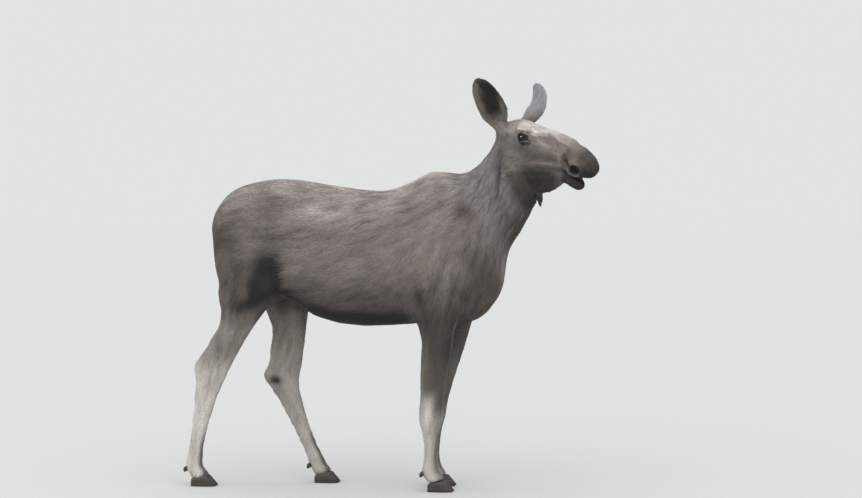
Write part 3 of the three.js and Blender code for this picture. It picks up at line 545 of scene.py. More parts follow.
EYE_RADIUS = 23.0
LID_HALF_LENGTH = 21.6
LID_UPPER, LID_LOWER = 11.5, 9.0
LID_THICK = 2.2
LID_TILT = math.radians(8)  # of the slit against the head's own level
EYE_LOOKS = (0.2, 1.0, 0.08)  # forward, out and up, in the head's frame


def eye_axes(side):
    """The eye's own directions: along the slit to the front, up, and out of the head."""
    out = HEAD_AXES @ np.array([EYE_LOOKS[0], side * EYE_LOOKS[1], EYE_LOOKS[2]])
    out /= np.linalg.norm(out)
    front = HEAD_AXES @ np.array([math.cos(LID_TILT), 0, math.sin(LID_TILT)])
    front -= out * (front @ out)
    front /= np.linalg.norm(front)
    up = np.cross(out, front) * -side
    return front, up, out


def lid_gap(along, height):
    """How far a place is outside the opening between the lids; negative inside it."""
    arch = np.sqrt(np.clip(1 - (along / LID_HALF_LENGTH) ** 2, 0, 1))
    reach = np.where(height > 0, LID_UPPER, LID_LOWER)
    outside = np.maximum(np.abs(along) - LID_HALF_LENGTH, 0)
    over = np.maximum(np.abs(height) - reach * arch, 0)
    return np.hypot(over, outside) - np.maximum(reach * arch - np.abs(height), 0)


def around_eye(points, side):
    """Places about an eye: along the slit, up and out of the head, and the gap to the opening."""
    front, up, out = eye_axes(side)
    away = points - eye_place[side]
    along, height, level = away @ front, away @ up, away @ out
    return along, height, level, lid_gap(along, height)


def open_eye(side):
    """Draws the skin over the eyeball as lids and tucks it in behind the opening."""
    along, height, level, gap = around_eye(skin.points, side)
    about = np.hypot(along, height)
    lid = EYE_RADIUS + LID_THICK + 2.0 * rise(gap, 0, 8)
    dome = np.sqrt(np.maximum(lid**2 - np.minimum(about, 20.0) ** 2, 0))
    dome = dome - np.maximum(about - 20, 0) * 0.5
    share = rise(about, 40, 22) * (level > -10)
    new = level + (dome - level) * share
    upper = (height > 0) * share
    new += 1.6 * upper * np.exp(-(((gap - 4) / 3) ** 2))  # the upper lid's swelling
    new -= 2.4 * upper * np.exp(-(((gap - 10) / 2.2) ** 2))  # the crease over it
    new -= 1.6 * (height < 0) * share * np.exp(-(((gap - 8) / 2.5) ** 2))  # the one under the eye
    new -= rise(gap, 0.6, -0.9) * 8 * (level > -10)  # tucked in behind the opening
    skin.points += ((new - level) * (about < 42))[:, None] * eye_axes(side)[2]


NOSTRIL_U, NOSTRIL_W = 503.0, -98.0
NOSTRIL_RADII = (33, 23)
NOSTRIL_SLANT = (0.94, 0.34)  # the cosine and the sine of its angle
NOSTRIL_DEPTH, SLIT_DEPTH = 24, 14


def nostril_hollow(place, side):
    """0 in the middle of the nostril and 1 at its edge, for places in the head's frame."""
    along, height = place[:, 0] - NOSTRIL_U, place[:, 2] - NOSTRIL_W
    inner = rise(side * place[:, 1], 10, 24)
    cosine, sine = NOSTRIL_SLANT
    turned = cosine * along + sine * height, cosine * height - sine * along
    return np.hypot(turned[0] / NOSTRIL_RADII[0], turned[1] / NOSTRIL_RADII[1]) + 3 * (1 - inner)


def open_nostril(side):
    """Pushes the comma-shaped nostril into the muzzle."""
    place = in_head(skin.points)
    push = NOSTRIL_DEPTH * rise(nostril_hollow(place, side), 1.15, 0.4)
    slit = stroke(place[:, [0, 2]], [(434, -56), (446, -76), (462, -94), (496, -104)], 7)
    push = np.maximum(push, SLIT_DEPTH * slit) * rise(side * place[:, 1], 18, 34)
    direction = HEAD_AXES @ np.array([-0.35, -side * 0.94, 0.1])
    skin.points += push[:, None] * direction


for side in SIDES:
    open_eye(side)
    open_nostril(side)


# ---------------------------------------------------------------- the ears' own places

EAR_TIP = {RIGHT: np.array([716.0, -178.0, 2198.0]), LEFT: np.array([986.0, 172.0, 2182.0])}
EAR_MIDDLE = {RIGHT: np.array([788.0, -146.0, 2066.0]), LEFT: np.array([1022.0, 112.0, 2072.0])}
EAR_FACE = {RIGHT: np.array([-0.1, -0.98, 0.1]), LEFT: np.array([0.7, 0.7, 0.05])}
EAR_FOOT = {RIGHT: from_head([-12, -80, -52]), LEFT: from_head([-10, 88, -52])}
EAR_HALF_WIDTH = 77.0


def ear_axes(side):
    run = EAR_TIP[side] - EAR_FOOT[side]
    length = np.linalg.norm(run)
    run = run / length
    across = np.cross(EAR_FACE[side], run)
    across /= np.linalg.norm(across)
    return run, across, np.cross(run, across), length


def about_ear(points, normals, side):
    """Places on an ear: 0 to 1 from foot to tip, -1 to 1 across it, and 1 where it faces the hollow's way."""
    run, across, face, length = ear_axes(side)
    away = points - EAR_FOOT[side]
    along = away @ run / length
    bow = 4 * along * (1 - along) * ((EAR_MIDDLE[side] - EAR_FOOT[side]) @ across)
    return along, (away @ across - bow) / EAR_HALF_WIDTH, normals @ face


def one_ear(points, side):
    """1 on that side's ear, 0 on the other."""
    return is_ear * rise(side * in_head(points)[:, 1], 0, 30)


def rim_of_ears():
    """1 along the ears' thin edges, where the surface turns over."""
    mean = skin.normals()
    for _ in range(5):
        mean = skin.averaged(mean)
    return is_ear * rise(np.linalg.norm(mean, axis=1), 0.85, 0.6)


ear_edge = rim_of_ears()

# ---------------------------------------------------------------- colours of the coat, with painted light and shade

# Colours of hair, skin and horn, some of them with painted light or shade in them, as seen on a screen, 0 to
# 255
COLOURS = dict(
    flank=(126, 116, 110),
    # back and sheen are painted highlights, where the light falls on the top of the trunk
    back=(150, 140, 136),
    sheen=(170, 160, 156),
    low_side=(96, 88, 82),
    # the underside's own dark hair, painted darker still as shade
    belly=(28, 27, 23),
    rump=(118, 108, 103),
    rump_side=(94, 86, 80),
    thigh=(106, 96, 91),
    # dark hair with painted shade, for the fold before the thigh and behind the elbow
    dark_hair_and_shade=(22, 21, 19),
    shoulder=(136, 125, 120),
    whorl=(92, 76, 69),
    neck=(124, 117, 114),
    throat=(64, 62, 56),
    chest=(88, 81, 75),
    forearm=(68, 64, 58),
    leg_front=(80, 76, 69),
    pale_leg=(206, 202, 193),
    gaskin=(142, 137, 128),
    # the inside of a leg, painted darker as shade under the belly
    inner_leg=(132, 129, 118),
    cheek=(120, 113, 105),
    cheek_edge=(152, 145, 138),
    # dark hair with painted shade
    jaw=(50, 48, 43),
    face=(146, 135, 128),
    # a painted highlight on the top of the head
    forehead_highlight=(200, 190, 185),
    # painted shade in the head's hollows and folds, and a darker spot under the eye
    dark_cheek=(66, 60, 55),
    # a painted highlight on raised edges of the head
    lit_ridge=(140, 129, 121),
    muzzle=(108, 94, 86),
    nose=(66, 59, 55),
    lips=(46, 43, 39),
    # near black: dark gland hair and skin, and painted shade inside the mouth and nostrils
    mouth=(24, 20, 19),
    # dark lid skin, with painted shade
    lid=(24, 21, 20),
    # painted shade under the brow and in the fold under the eye
    eye_fold_shade=(48, 43, 39),
    brow=(182, 168, 156),
    ear_back=(140, 138, 142),
    ear_inside=(38, 36, 33),
    ear_hollow=(24, 23, 21),
    ear_hair=(138, 131, 118),
    ear_rim=(132, 125, 114),
    bell=(58, 55, 50),
    tail=(88, 80, 74),
)

# The front edge and the strength of the dark fold before the thigh, its own dark hair with painted shade; on
# the left side it is softer.
FOLD_EDGE = {RIGHT: (-6, 30), LEFT: (-20, 70)}
FOLD_STRENGTH = {RIGHT: 0.97, LEFT: 0.8}

# Marks round each eye: colour, strength, width, and a line of (along the slit, up from it)
EYE_MARKS = [
    ("brow", 0.7, 9, [(-36, 24), (-14, 42), (22, 48), (52, 50)]),
    # painted shade under the brow over the upper lid, then in the fold under the eye
    ("eye_fold_shade", 0.7, 8, [(-34, 6), (-8, 24), (26, 30), (64, 34)]),
    ("eye_fold_shade", 0.85, 11, [(-30, -18), (0, -30), (34, -30), (56, -24)]),
    ("brow", 0.35, 4, [(-24, -22), (0, -24), (26, -20)]),
]


def colour_of(name):
    """A named colour in linear light."""
    value = np.array(COLOURS[name]) / 255
    return np.where(value < 0.04045, value / 12.92, ((value + 0.055) / 1.055) ** 2.4)


class Paint:
    """One colour for each corner of the skin, laid on in layers."""

    def __init__(self, count, name):
        self.colour = np.tile(colour_of(name), (count, 1))

    def lay(self, name, share):
        self.colour += (colour_of(name) - self.colour) * np.clip(share, 0, 1)[:, None]


def side_of(points, side):
    """1 on that side of the animal, 0 on the other."""
    return rise(side * points[:, 1], -30, 30)


def mark_body(lay, points, normals):
    x, _, z = points.T
    flank, up = points[:, [0, 2]], normals[:, 2]
    lay("low_side", rise(z, 1220, 1040))
    lay("rump", rise(x, -200, -420) * rise(z, 1150, 1350))
    lay("rump_side", rise(x, -470, -640) * rise(z, 1560, 1400))
    # Painted highlight on the upward-facing top of the back, and a painted sheen along the upper flank
    lit_top_of_back = rise(up, 0.05, 0.6) * rise(z, 1360, 1480) * (1 - wide_neck)
    lay("back", 0.85 * lit_top_of_back * (1 - 0.6 * rise(x, -300, -450)))
    lay("sheen", 0.6 * stroke(flank, [(-250, 1510), (-60, 1480), (140, 1480)], 70))
    lay("shoulder", 0.8 * ball(flank, (470, 1440), (220, 150)))
    lay("thigh", rise(x, -330, -500) * rise(z, 1330, 1180))
    # The underside: its own dark hair, painted darker as shade where it faces down, and a painted shadow line
    # along its lowest edge
    lay("belly", rise(-up, 0.3, 0.8) * rise(z, 1150, 1050))
    lay("belly", 0.9 * stroke(flank, [(-330, 1000), (0, 922), (250, 922), (420, 945)], 24, 0.1))
    lay("chest", rise(x, 560, 720) * rise(z, 1420, 1250))
    lay("neck", wide_neck)
    lay("throat", is_neck * rise(-up, 0.1, 0.6) * rise(z, 1200, 1400))
    on_right = (1 - is_ear) * side_of(points, RIGHT)
    behind_cheek = [(872, 1870), (870, 1780), (868, 1700), (864, 1620)]
    lay("cheek_edge", 0.4 * on_right * stroke(flank, behind_cheek, 15))
    # Painted shade in the crease of the neck's skin behind the right cheek
    crease = [(843, 1890), (842, 1780), (840, 1700), (834, 1640), (822, 1560)]
    lay("lips", 0.8 * on_right * stroke(flank, crease, 12))
    lay("throat", 0.7 * ball(in_head(points), (230, 0, -300), (140, 130, 84)))
    lay("throat", 0.6 * is_neck * ball(flank, (940, 1450), (74, 110)))


def mark_hind_leg(lay, points, normals, side):
    x, _, z = points.T
    flank = points[:, [0, 2]]
    leg, on_side = is_leg["hind", side], side_of(points, side)
    outside = facing(normals, side, np.array([0.0, 1.0, 0.0]))
    inside = 1 - outside
    stifle, hock = (np.array(JOINTS["hind", side][joint], float) for joint in ("stifle", "hock"))
    # The dark fold before the thigh runs down it and back under the thigh's muscles: its own dark hair, with
    # painted shade in the fold and under the muscles.
    dark = ball(flank, stifle + (28, 128), (84, 106)) + ball(flank, stifle + (-14, 42), (92, 84))
    under = [stifle + (20, 6), stifle + (-90, -50), stifle + (-240, -98)]
    dark += 0.75 * stroke(flank, under, 38, 0.35) * outside
    dark = dark * (1 + 0.25 * noise(points, 52, 3))
    edge, strength = FOLD_EDGE[side], FOLD_STRENGTH[side]
    fold = rise(stifle[0] + 98 - x, *edge)
    about = rise(ball(flank, stifle + (-70, 40), (190, 150)), 0.1, 0.7)
    lay("low_side", 0.7 * about * fold * on_side)
    lay("dark_hair_and_shade", np.minimum(strength, 1.25 * dark) * fold * on_side)
    border = z + 0.12 * (x - stifle[0]) - (stifle[1] - 166)
    border = border + 24 * noise(points, 70, 3) + 14 * noise(points, 26, 8)
    lay("gaskin", leg * rise(border, 56, -84))
    # The leg's inside, in a tone painted darker as shade under the belly
    lay("inner_leg", 0.8 * leg * inside * rise(border, 80, -60))
    lay("pale_leg", leg * rise(z, hock[1] + 170, hock[1] - 10) * (0.25 + 0.75 * outside))
    lay("pale_leg", 0.22 * leg * inside * rise(z, 850, 700))
    lay("pale_leg", 0.35 * leg * rise(z, hock[1] - 60, hock[1] - 200) * inside)
    # Painted shade in the hollow between the tendon and the bone
    hollow = leg_line(stifle, hock, [(0.56, 100), (0.71, 64), (0.86, 45), (0.97, 29)])
    lay("inner_leg", 0.6 * leg * stroke(flank, hollow, 15) * outside)
    lay("leg_front", 0.85 * leg * rise(normals[:, 0], 0.25, 0.8) * rise(z, 380, 200))
    # A small dark spot of gland hair inside the hock
    gland = np.minimum(1, 1.7 * ball(points, (hock[0] - 44, side * 80, hock[1] + 22), (36, 70, 20)))
    lay("mouth", 0.9 * gland * leg * inside)


def mark_fore_leg(lay, points, normals, side):
    z, ahead, leg = points[:, 2], normals[:, 0], is_leg["fore", side]
    knee_height = JOINTS["fore", side]["knee"][1]
    lay("forearm", leg * rise(z, 1080, 900))
    # The fore leg's top, inside and rear, in the inner leg's tone with its painted shade
    lay("inner_leg", 0.25 * leg * rise(z, 780, 560))
    lay("inner_leg", 0.3 * leg * (1 - facing(normals, side, np.array([0.0, 1.0, 0.0]))))
    pale = leg * rise(ahead, 0.45, -0.2) * rise(z, knee_height + 150, knee_height + 30)
    lay("pale_leg", 0.95 * pale)
    lay("inner_leg", 0.5 * leg * rise(-ahead, 0.1, 0.7) * rise(z, 980, 600))
    lay("pale_leg", 0.55 * leg * rise(z, knee_height + 60, knee_height - 60))
    lay("leg_front", 0.6 * leg * rise(ahead, 0.3, 0.9) * rise(z, 420, 300))


def mark_head(lay, points, normals):
    place = in_head(points)
    u, v, w = place.T
    profile = place[:, [0, 2]]
    level = normals @ HEAD_AXES[:, 2]

    def line(name, share, width, path, fade=0.3):
        lay(name, share * is_head * stroke(profile, path, width, fade))

    def spot(name, share, centre, radii, strength=1):
        lay(name, share * is_head * np.minimum(1, strength * ball(profile, centre, radii)))

    lay("cheek", wide_head)
    # The lower jaw and the head's underside: dark hair, painted darker as shade
    lay("jaw", wide_head * rise(w, -128, -200) * rise(u, 120, 250))
    lay("jaw", 0.6 * wide_head * rise(w, -210, -260))
    lay("face", wide_head * rise(w, -104, -40))
    # Painted highlight on the top of the head and the nose's bridge, where it faces up
    pale = (0.3 + 0.6 * rise(u, 390, 270)) * rise(u, 20, 120) * rise(u, 500, 420)
    lay("forehead_highlight", pale * is_head * rise(level, 0.2, 0.75) * rise(w, -110, -60))
    # Painted shade in the hollow of the cheek, in the fold under the ear and in the wrinkles over the brow;
    # then a darker spot under the eye
    line("dark_cheek", 0.75, 30, [(150, -124), (262, -116), (330, -100), (384, -72)])
    line("dark_cheek", 0.5, 9, [(36, -48), (31, -90), (34, -125)])
    line("dark_cheek", 0.65, 6, [(68, 12), (84, 38), (112, 54)])
    spot("dark_cheek", 0.5, (150, -96), (64, 46))
    # Painted highlights on raised forms: the upper lip's edge, the muzzle's rear bulge and the top of the
    # nostril's wing
    line("lit_ridge", 0.5, 6.5, [(216, -151), (276, -142), (330, -129), (430, -116)])
    # Painted shade under the upper lip's raised edge
    line("jaw", 0.5, 10, [(404, -140), (350, -152), (296, -164), (236, -174)])
    line("lit_ridge", 0.55, 14, [(372, -100), (380, -68), (402, -18), (430, 10)], 0.2)
    lay("muzzle", is_head * rise(u - 0.2 * w, 396, 450))
    line("nose", 0.7, 15, [(422, -92), (426, -46), (444, -4)], 0.2)
    spot("lit_ridge", 0.45, (480, -52), (26, 20))
    lay("nose", is_head * rise(u - 0.3 * w, 548, 592))
    lay("nose", 0.7 * is_head * ball(place, (545, 0, -70), (40, 46, 40)))
    spot("nose", 0.9, (535, -14), (28, 26), 1.5)
    spot("mouth", 0.7, (574, -112), (58, 30), 1.6)
    # Painted highlights on the top of the muzzle and along the nostril's rim
    spot("lit_ridge", 0.45, (446, 8), (40, 26))
    lay("lips", is_head * rise(w, -118, -134) * rise(u, 396, 424))
    line("lit_ridge", 0.8, 5.5, [(450, -102), (458, -119), (482, -132), (516, -131), (542, -110)], 0.15)
    for side in SIDES:
        on_side = rise(side * v, 20, 40) * is_head
        nostril = nostril_hollow(place, side)
        lay("lips", 0.7 * on_side * rise(nostril, 1.35, 1.0))
        # Painted shade inside the nostril and its slit
        lay("mouth", on_side * rise(nostril, 1.1, 0.85))
        slit = stroke(profile, [(436, -52), (447, -77), (464, -96), (492, -102)], 7, 0.2)
        lay("mouth", 0.9 * on_side * slit)
        mark_eye(lay, points, side, on_side)
    # Painted shade inside the open mouth
    inside = rise(u, 395, 420) * rise(u, 560, 535) * rise(w, -118, -132) * rise(w, -186, -172)
    inside *= rise(np.abs(v), 56, 40) * rise(np.abs(level), 0.35, 0.7)
    lay("mouth", is_head * inside)


def mark_eye(lay, points, side, on_side):
    along, height, level, gap = around_eye(points, side)
    near = (level > -16) * on_side
    spot = np.stack([along, height], 1)
    for name, share, width, path in EYE_MARKS:
        lay(name, share * near * stroke(spot, path, width, 0.2))
    # The lids: dark skin, with painted shade over the upper lid under the brow
    shade = np.hypot((along - 3) / 37, (height - 4) / 18)
    lay("lid", 0.94 * near * rise(shade, 1.2, 0.84))
    lay("lid", 0.8 * near * stroke(spot, [(18, -4), (36, -8), (54, -18)], 5))
    lay("mouth", near * rise(gap, 2.5, 0))


def mark_ear(lay, points, normals, side):
    along, across, face = about_ear(points, normals, side)
    on_ear = one_ear(points, side)
    within = on_ear * rise(face, -0.2, 0.3)
    leaf = np.stack([along, across], 1)
    lay("ear_rim", within)
    lay("ear_inside", within * rise(ball(leaf, (0.50, -0.10), (0.48, 0.88)), 0.1, 0.6))
    lay("ear_hollow", within * rise(ball(leaf, (0.44, -0.30), (0.34, 0.50)), 0.1, 0.6))
    lay("ear_hair", 0.35 * within * stroke(leaf, [(0.12, 0.5), (0.38, 0.68), (0.66, 0.6)], 0.16, 0.2))
    front = [(0.97, 0.1), (0.84, 0.46), (0.66, 0.66), (0.46, 0.8)]
    lay("ear_rim", 0.75 * within * stroke(leaf, front, 0.17, 0.12))
    rear = [(0.12, -0.35), (0.3, -0.62), (0.5, -0.85)]
    lay("ear_hair", 0.7 * within * stroke(leaf, rear, 0.13, 0.2))
    lay("ear_rim" if side == RIGHT else "ear_back", 0.8 * within * ear_edge)
    lay("ear_rim", 0.75 * on_ear * rise(along, 0.36, 0.12))
    lay("cheek", on_ear * rise(along, 0.22, 0.06))


def markings_and_painted_light(points, normals):
    """The coat's colours with painted highlights and shade, the same for the skin and for the hair that grows
    on it.
    """
    flank = points[:, [0, 2]]
    paint = Paint(len(points), "flank")
    lay = paint.lay
    mark_body(lay, points, normals)
    for side in SIDES:
        mark_hind_leg(lay, points, normals, side)
        mark_fore_leg(lay, points, normals, side)
    # Painted shade in the crease behind the elbow
    elbow = stroke(flank, [(415, 1130), (420, 1040), (430, 960)], 30)
    lay("dark_hair_and_shade", 0.7 * elbow * rise(points[:, 2], 1190, 1120))
    lay("whorl", 0.85 * ball(flank, (668, 1505), (64, 50)))
    lay("whorl", 0.5 * stroke(flank, [(600, 1605), (648, 1550), (690, 1470), (704, 1400)], 20))
    mark_head(lay, points, normals)
    lay("ear_back", is_ear)
    for side in SIDES:
        mark_ear(lay, points, normals, side)
    lay("tail", is_tail)
    lay("bell", is_bell)
    # Darker along the loin, with painted shade in the loin's short fold
    loin_darkening = stroke(flank, [(-230, 1560), (-60, 1530), (60, 1500)], 26)
    loin_darkening += ball(flank, (70, 1500), (60, 26))
    loin_darkening += 1.6 * stroke(flank, [(36, 1488), (85, 1520), (150, 1560)], 12)
    patches_and_shade = 1 + 0.06 * noise(points, 160, 1) + 0.06 * noise(points, 60, 2) - 0.10 * loin_darkening
    return paint.colour * patches_and_shade[:, None]


# ---------------------------------------------------------------- the lie of the coat


class Lie:
    """The hair's direction at each corner of the skin, laid on in layers."""

    def __init__(self, count, vector):
        self.vector = np.tile(np.asarray(vector, float), (count, 1))

    def lay(self, vector, share):
        self.vector += (np.asarray(vector, float) - self.vector) * np.clip(share, 0, 1)[:, None]


def along_skin(vectors, normals):
    return unit(vectors - normals * (vectors * normals).sum(1)[:, None])


def lie_of_coat(points, normals):
    """The hair's direction along the skin, from nose to tail and down the legs."""
    x, _, z = points.T
    up = normals[:, 2]
    lie = Lie(len(points), (-0.85, 0, -0.45))
    lie.lay((-0.92, 0, -0.2), rise(x, -60, -300))
    lie.lay((-1, 0, -0.12), rise(up, 0.35, 0.85))
    lie.lay((-1, 0, -0.05), rise(-up, 0.2, 0.7) * rise(z, 1200, 1100))
    lie.lay((-0.6, 0, -0.8), rise(x, 150, 420) * rise(z, 1450, 1300))
    lie.lay((-0.3, 0, -1), rise(x, -640, -790))
    lie.lay((-0.4, 0, -0.9), rise(x, -340, -480) * rise(z, 1330, 1120))
    lie.lay((-0.3, 0, -1), rise(x, 380, 560) * rise(z, 1330, 1120))
    lie.lay((-0.15, 0, -1), rise(x, 640, 780) * rise(z, 1560, 1380))
    lie.lay((-0.45, 0, -0.9), is_neck)
    lie.lay((-0.75, 0, -0.6), is_neck * rise(up, 0.3, 0.8))
    lie.lay((-0.9, 0, -0.3), rise(up, 0.4, 0.9) * rise(x, 250, 400) * rise(x, 800, 700))
    for leg, joints in JOINTS.items():
        bend, low = list(joints.values())[-2:]  # the shank's ends: knee or hock, and fetlock
        shank = np.array([low[0] - bend[0], 0, low[1] - bend[1]], float)
        lie.lay((-0.1, 0, -1), is_leg[leg] * rise(z, 1050, 900))
        lie.lay(shank / np.linalg.norm(shank), is_leg[leg] * rise(z, bend[1] + 80, bend[1]))
    u, _, w = in_head(points).T
    for vector, share in [
        ((-1, 0, 0), is_head),
        ((-0.85, 0, -0.5), is_head * rise(w, -60, -130) * rise(u, 420, 330)),
        ((-0.8, 0, -0.6), is_head * rise(w, -150, -220)),
        ((-0.55, 0, -0.8), is_head * rise(u, 80, -20) * rise(w, -40, -120)),
        ((-0.9, 0, 0.25), is_head * rise(u, 440, 520) * rise(w, -110, -60)),
    ]:
        lie.lay(HEAD_AXES @ np.array(vector, float), share)
    for side in SIDES:
        lie.lay(ear_axes(side)[0], one_ear(points, side))
    lie.lay((0.05, 0, -1), is_bell)
    lie.lay((-0.4, 0, -1), is_tail)
    flow = along_skin(lie.vector, normals)
    for _ in range(8):
        flow = along_skin(skin.averaged(flow) + flow, normals)
    sideways = np.cross(normals, flow)
    sway = 0.10 * noise(points, 90, 4) + 0.08 * noise(points, 38, 5)
    sway += is_neck * (0.22 * noise(points, 75, 6) + 0.15 * noise(points, 34, 7))
    return unit(flow + sway[:, None] * sideways)


def blend_of(layers, start):
    """A value for each corner, laid on in layers of (value, share)."""
    value = np.full(len(skin.points), float(start))
    for new, share in layers:
        value += (new - value) * np.clip(share, 0, 1)
    return value


def length_of_hair(points, normals):
    """The hair's length at each corner of the skin, in millimetres."""
    x, _, z = points.T
    up = normals[:, 2]
    u, v, w = in_head(points).T
    length = blend_of([
        (40, rise(up, 0.4, 0.9)),
        (48, rise(up, 0.3, 0.8) * rise(x, 230, 420)),
        (46, wide_neck),
        (52, wide_neck * rise(z, 1500, 1350)),
        (24, is_any_leg * rise(z, 1080, 900)),
        (18, is_any_leg * rise(z, 760, 560)),
        (12, is_any_leg * rise(z, 260, 160)),
        (24, is_any_leg * rise(z, 100, 80)),
        (14, wide_head),
        (20, is_head * rise(w, -150, -230) * rise(u, 380, 300)),
        (7, is_head * rise(u, 380, 470)),
        (8, is_ear),
        (22, is_bell),
        (48, is_tail),
    ], 34)
    for side in SIDES:
        _, _, level, gap = around_eye(points, side)
        length += (5.5 - length) * (level > -20) * is_head * rise(gap, 26, 8) * rise(side * v, 0, 20)
        along, across, face = about_ear(points, normals, side)
        on_ear = one_ear(points, side)
        length -= 3.5 * on_ear * ear_edge
        rear = [(0.1, -0.3), (0.3, -0.6), (0.5, -0.85)]
        fringe = on_ear * rise(face, 0, 0.4) * stroke(np.stack([along, across], 1), rear, 0.16, 0.2)
        length += (26 - length) * fringe
    return length


def cover_of_hair(points):
    """How many layers of tufts lie over each other; 0 where the skin is bare."""
    place = in_head(points)
    u, v, w = place.T
    cover = blend_of([
        (2.4, is_neck),
        (1.3, is_any_leg),
        (1.0, is_any_leg * rise(points[:, 2], 800, 500)),
        (1.0, is_head),
        (0.75, is_head * rise(u, 400, 480)),
        (1.0, is_ear),
        (2.6, is_bell),
        (2.6, is_tail),
    ], 1.7)
    bare = rise(ear_edge, 0.3, 0.7)
    for side in SIDES:
        _, _, level, gap = around_eye(points, side)
        bare = np.maximum(bare, (level > -16) * is_head * rise(gap, 8, 5) * (side * v > 0))
        nostril = rise(nostril_hollow(place, side), 1.25, 1.1)
        bare = np.maximum(bare, is_head * nostril * (side * v > 20))
    lips = rise(w, -122, -132) * rise(w, -182, -170) * rise(u, 400, 415) * rise(np.abs(v), 62, 50)
    bare = np.maximum(bare, is_head * lips)
    return cover * np.clip(1 - bare, 0, 1)


# ---------------------------------------------------------------- tufts

CHANCE = np.random.default_rng(20260101)
WIDTH_SHARE, WIDTH_LEAST = 0.06, 0.8  # a tuft's width, from its length
FILL = 0.6  # of a tuft's length times its width, the share that it covers
ROUNDING = 0.4  # how far the sides of a tuft turn their shading away from the skin's
LONG = 38.0  # tufts over this length bend in two places
SHORT_BENDS, LONG_BENDS = (0.38,), (0.3, 0.68)  # where a tuft bends, as shares of its length
SNAPPED = 18.0  # pieces whose tufts are longer than this on average follow the skin's curves
ROOT_DEPTH = 1.2  # how far a root lies under the skin
ROOT_SHADE, TIP_SHADE = 0.88, 1.06
STREAK_ROUNDS = 10
ROOT_CELL = 40  # roots are counted out cube by cube of this size


class Field:
    """All that a tuft needs to know about the skin under its root."""

    def __init__(self):
        self.normals = skin.normals()
        self.colour = markings_and_painted_light(skin.points, self.normals)
        self.flow = lie_of_coat(skin.points, self.normals)
        self.length = length_of_hair(skin.points, self.normals)
        self.cover = cover_of_hair(skin.points)
        self.streak = self.streaks()

    def streaks(self):
        """Random values drawn out along the hair, from about -1 to 1."""
        value = CHANCE.normal(size=len(skin.points))
        way = unit(skin.points[skin.other] - skin.points[skin.one])
        middle = unit(self.flow[skin.one] + self.flow[skin.other])
        weight = np.abs((way * middle).sum(1)) ** 6 + 0.01
        count = len(value)
        total = np.bincount(skin.one, weight, count) + np.bincount(skin.other, weight, count)
        for _ in range(STREAK_ROUNDS):
            near = np.bincount(skin.one, weight * value[skin.other], count)
            near += np.bincount(skin.other, weight * value[skin.one], count)
            value = 0.4 * value + 0.6 * near / total
        return np.clip(value / value.std() / 2, -1, 1)


def plant(field):
    """Chooses the roots: evenly spread over the skin, closer where the hair is short."""
    a, b, c = (skin.points[skin.triangles[:, k]] for k in range(3))
    area = np.linalg.norm(np.cross(b - a, c - a), axis=1) / 2
    width = WIDTH_LEAST + WIDTH_SHARE * field.length
    wanted = (field.cover / (FILL * width * field.length))[skin.triangles].mean(1) * area
    # Triangles are visited along a curve that stays near itself, so that the roots spread evenly.
    cell = ((a + b + c) / 3 / ROOT_CELL).astype(int)
    order = np.lexsort((cell[:, 0], cell[:, 1] * (1 - 2 * (cell[:, 0] & 1)), cell[:, 2]))
    count = np.diff(np.floor(np.concatenate([[0], np.cumsum(wanted[order])]) + 0.5)).astype(int)
    home = np.repeat(order, count)
    one, two = CHANCE.random((2, len(home)))
    flip = one + two > 1
    one[flip], two[flip] = 1 - one[flip], 1 - two[flip]
    return home, np.stack([1 - one - two, one, two], 1)


def snapped(tree, points):
    """The nearest place on the skin to each point, and the skin's normal there."""
    found = [tree.find_nearest(point)[:2] for point in points.tolist()]
    places, normals = zip(*found)
    return np.array(places), np.array(normals)


class Tufts:
    """Closed spindles along the skin, from roots and the field under them."""

    def __init__(self, field):
        home, shares = plant(field)
        corners = skin.triangles[home]

        def at(values):
            picked = values[corners]
            return (picked * shares.reshape(shares.shape + (1,) * (picked.ndim - 2))).sum(1)

        count = len(home)
        self.root = at(skin.points)
        self.normal = unit(at(field.normals))
        self.flow = along_skin(at(field.flow), self.normal)
        self.length = at(field.length) * CHANCE.uniform(0.75, 1.25, count)
        self.width = (WIDTH_LEAST + WIDTH_SHARE * self.length) * CHANCE.uniform(0.8, 1.2, count)
        self.streak = at(field.streak)
        neck = at(is_neck)
        vary = 1 + 0.18 * CHANCE.normal(size=count).clip(-2, 2)
        vary += (0.40 + 0.06 * neck) * self.streak
        self.colour = at(field.colour) * vary[:, None]
        turn = 0.10 * CHANCE.normal(size=count)
        self.flow = unit(self.flow + turn[:, None] * np.cross(self.normal, self.flow))
        self.owner = owner[corners[:, 0]]
        self.lift = (0.4 + 0.03 * self.length) * CHANCE.uniform(0.4, 1.6, count)
        self.lift += (0.6 + 2.0 * neck) * self.streak.clip(0, 1)
        self.lift *= 1 - 0.6 * at(is_ear)


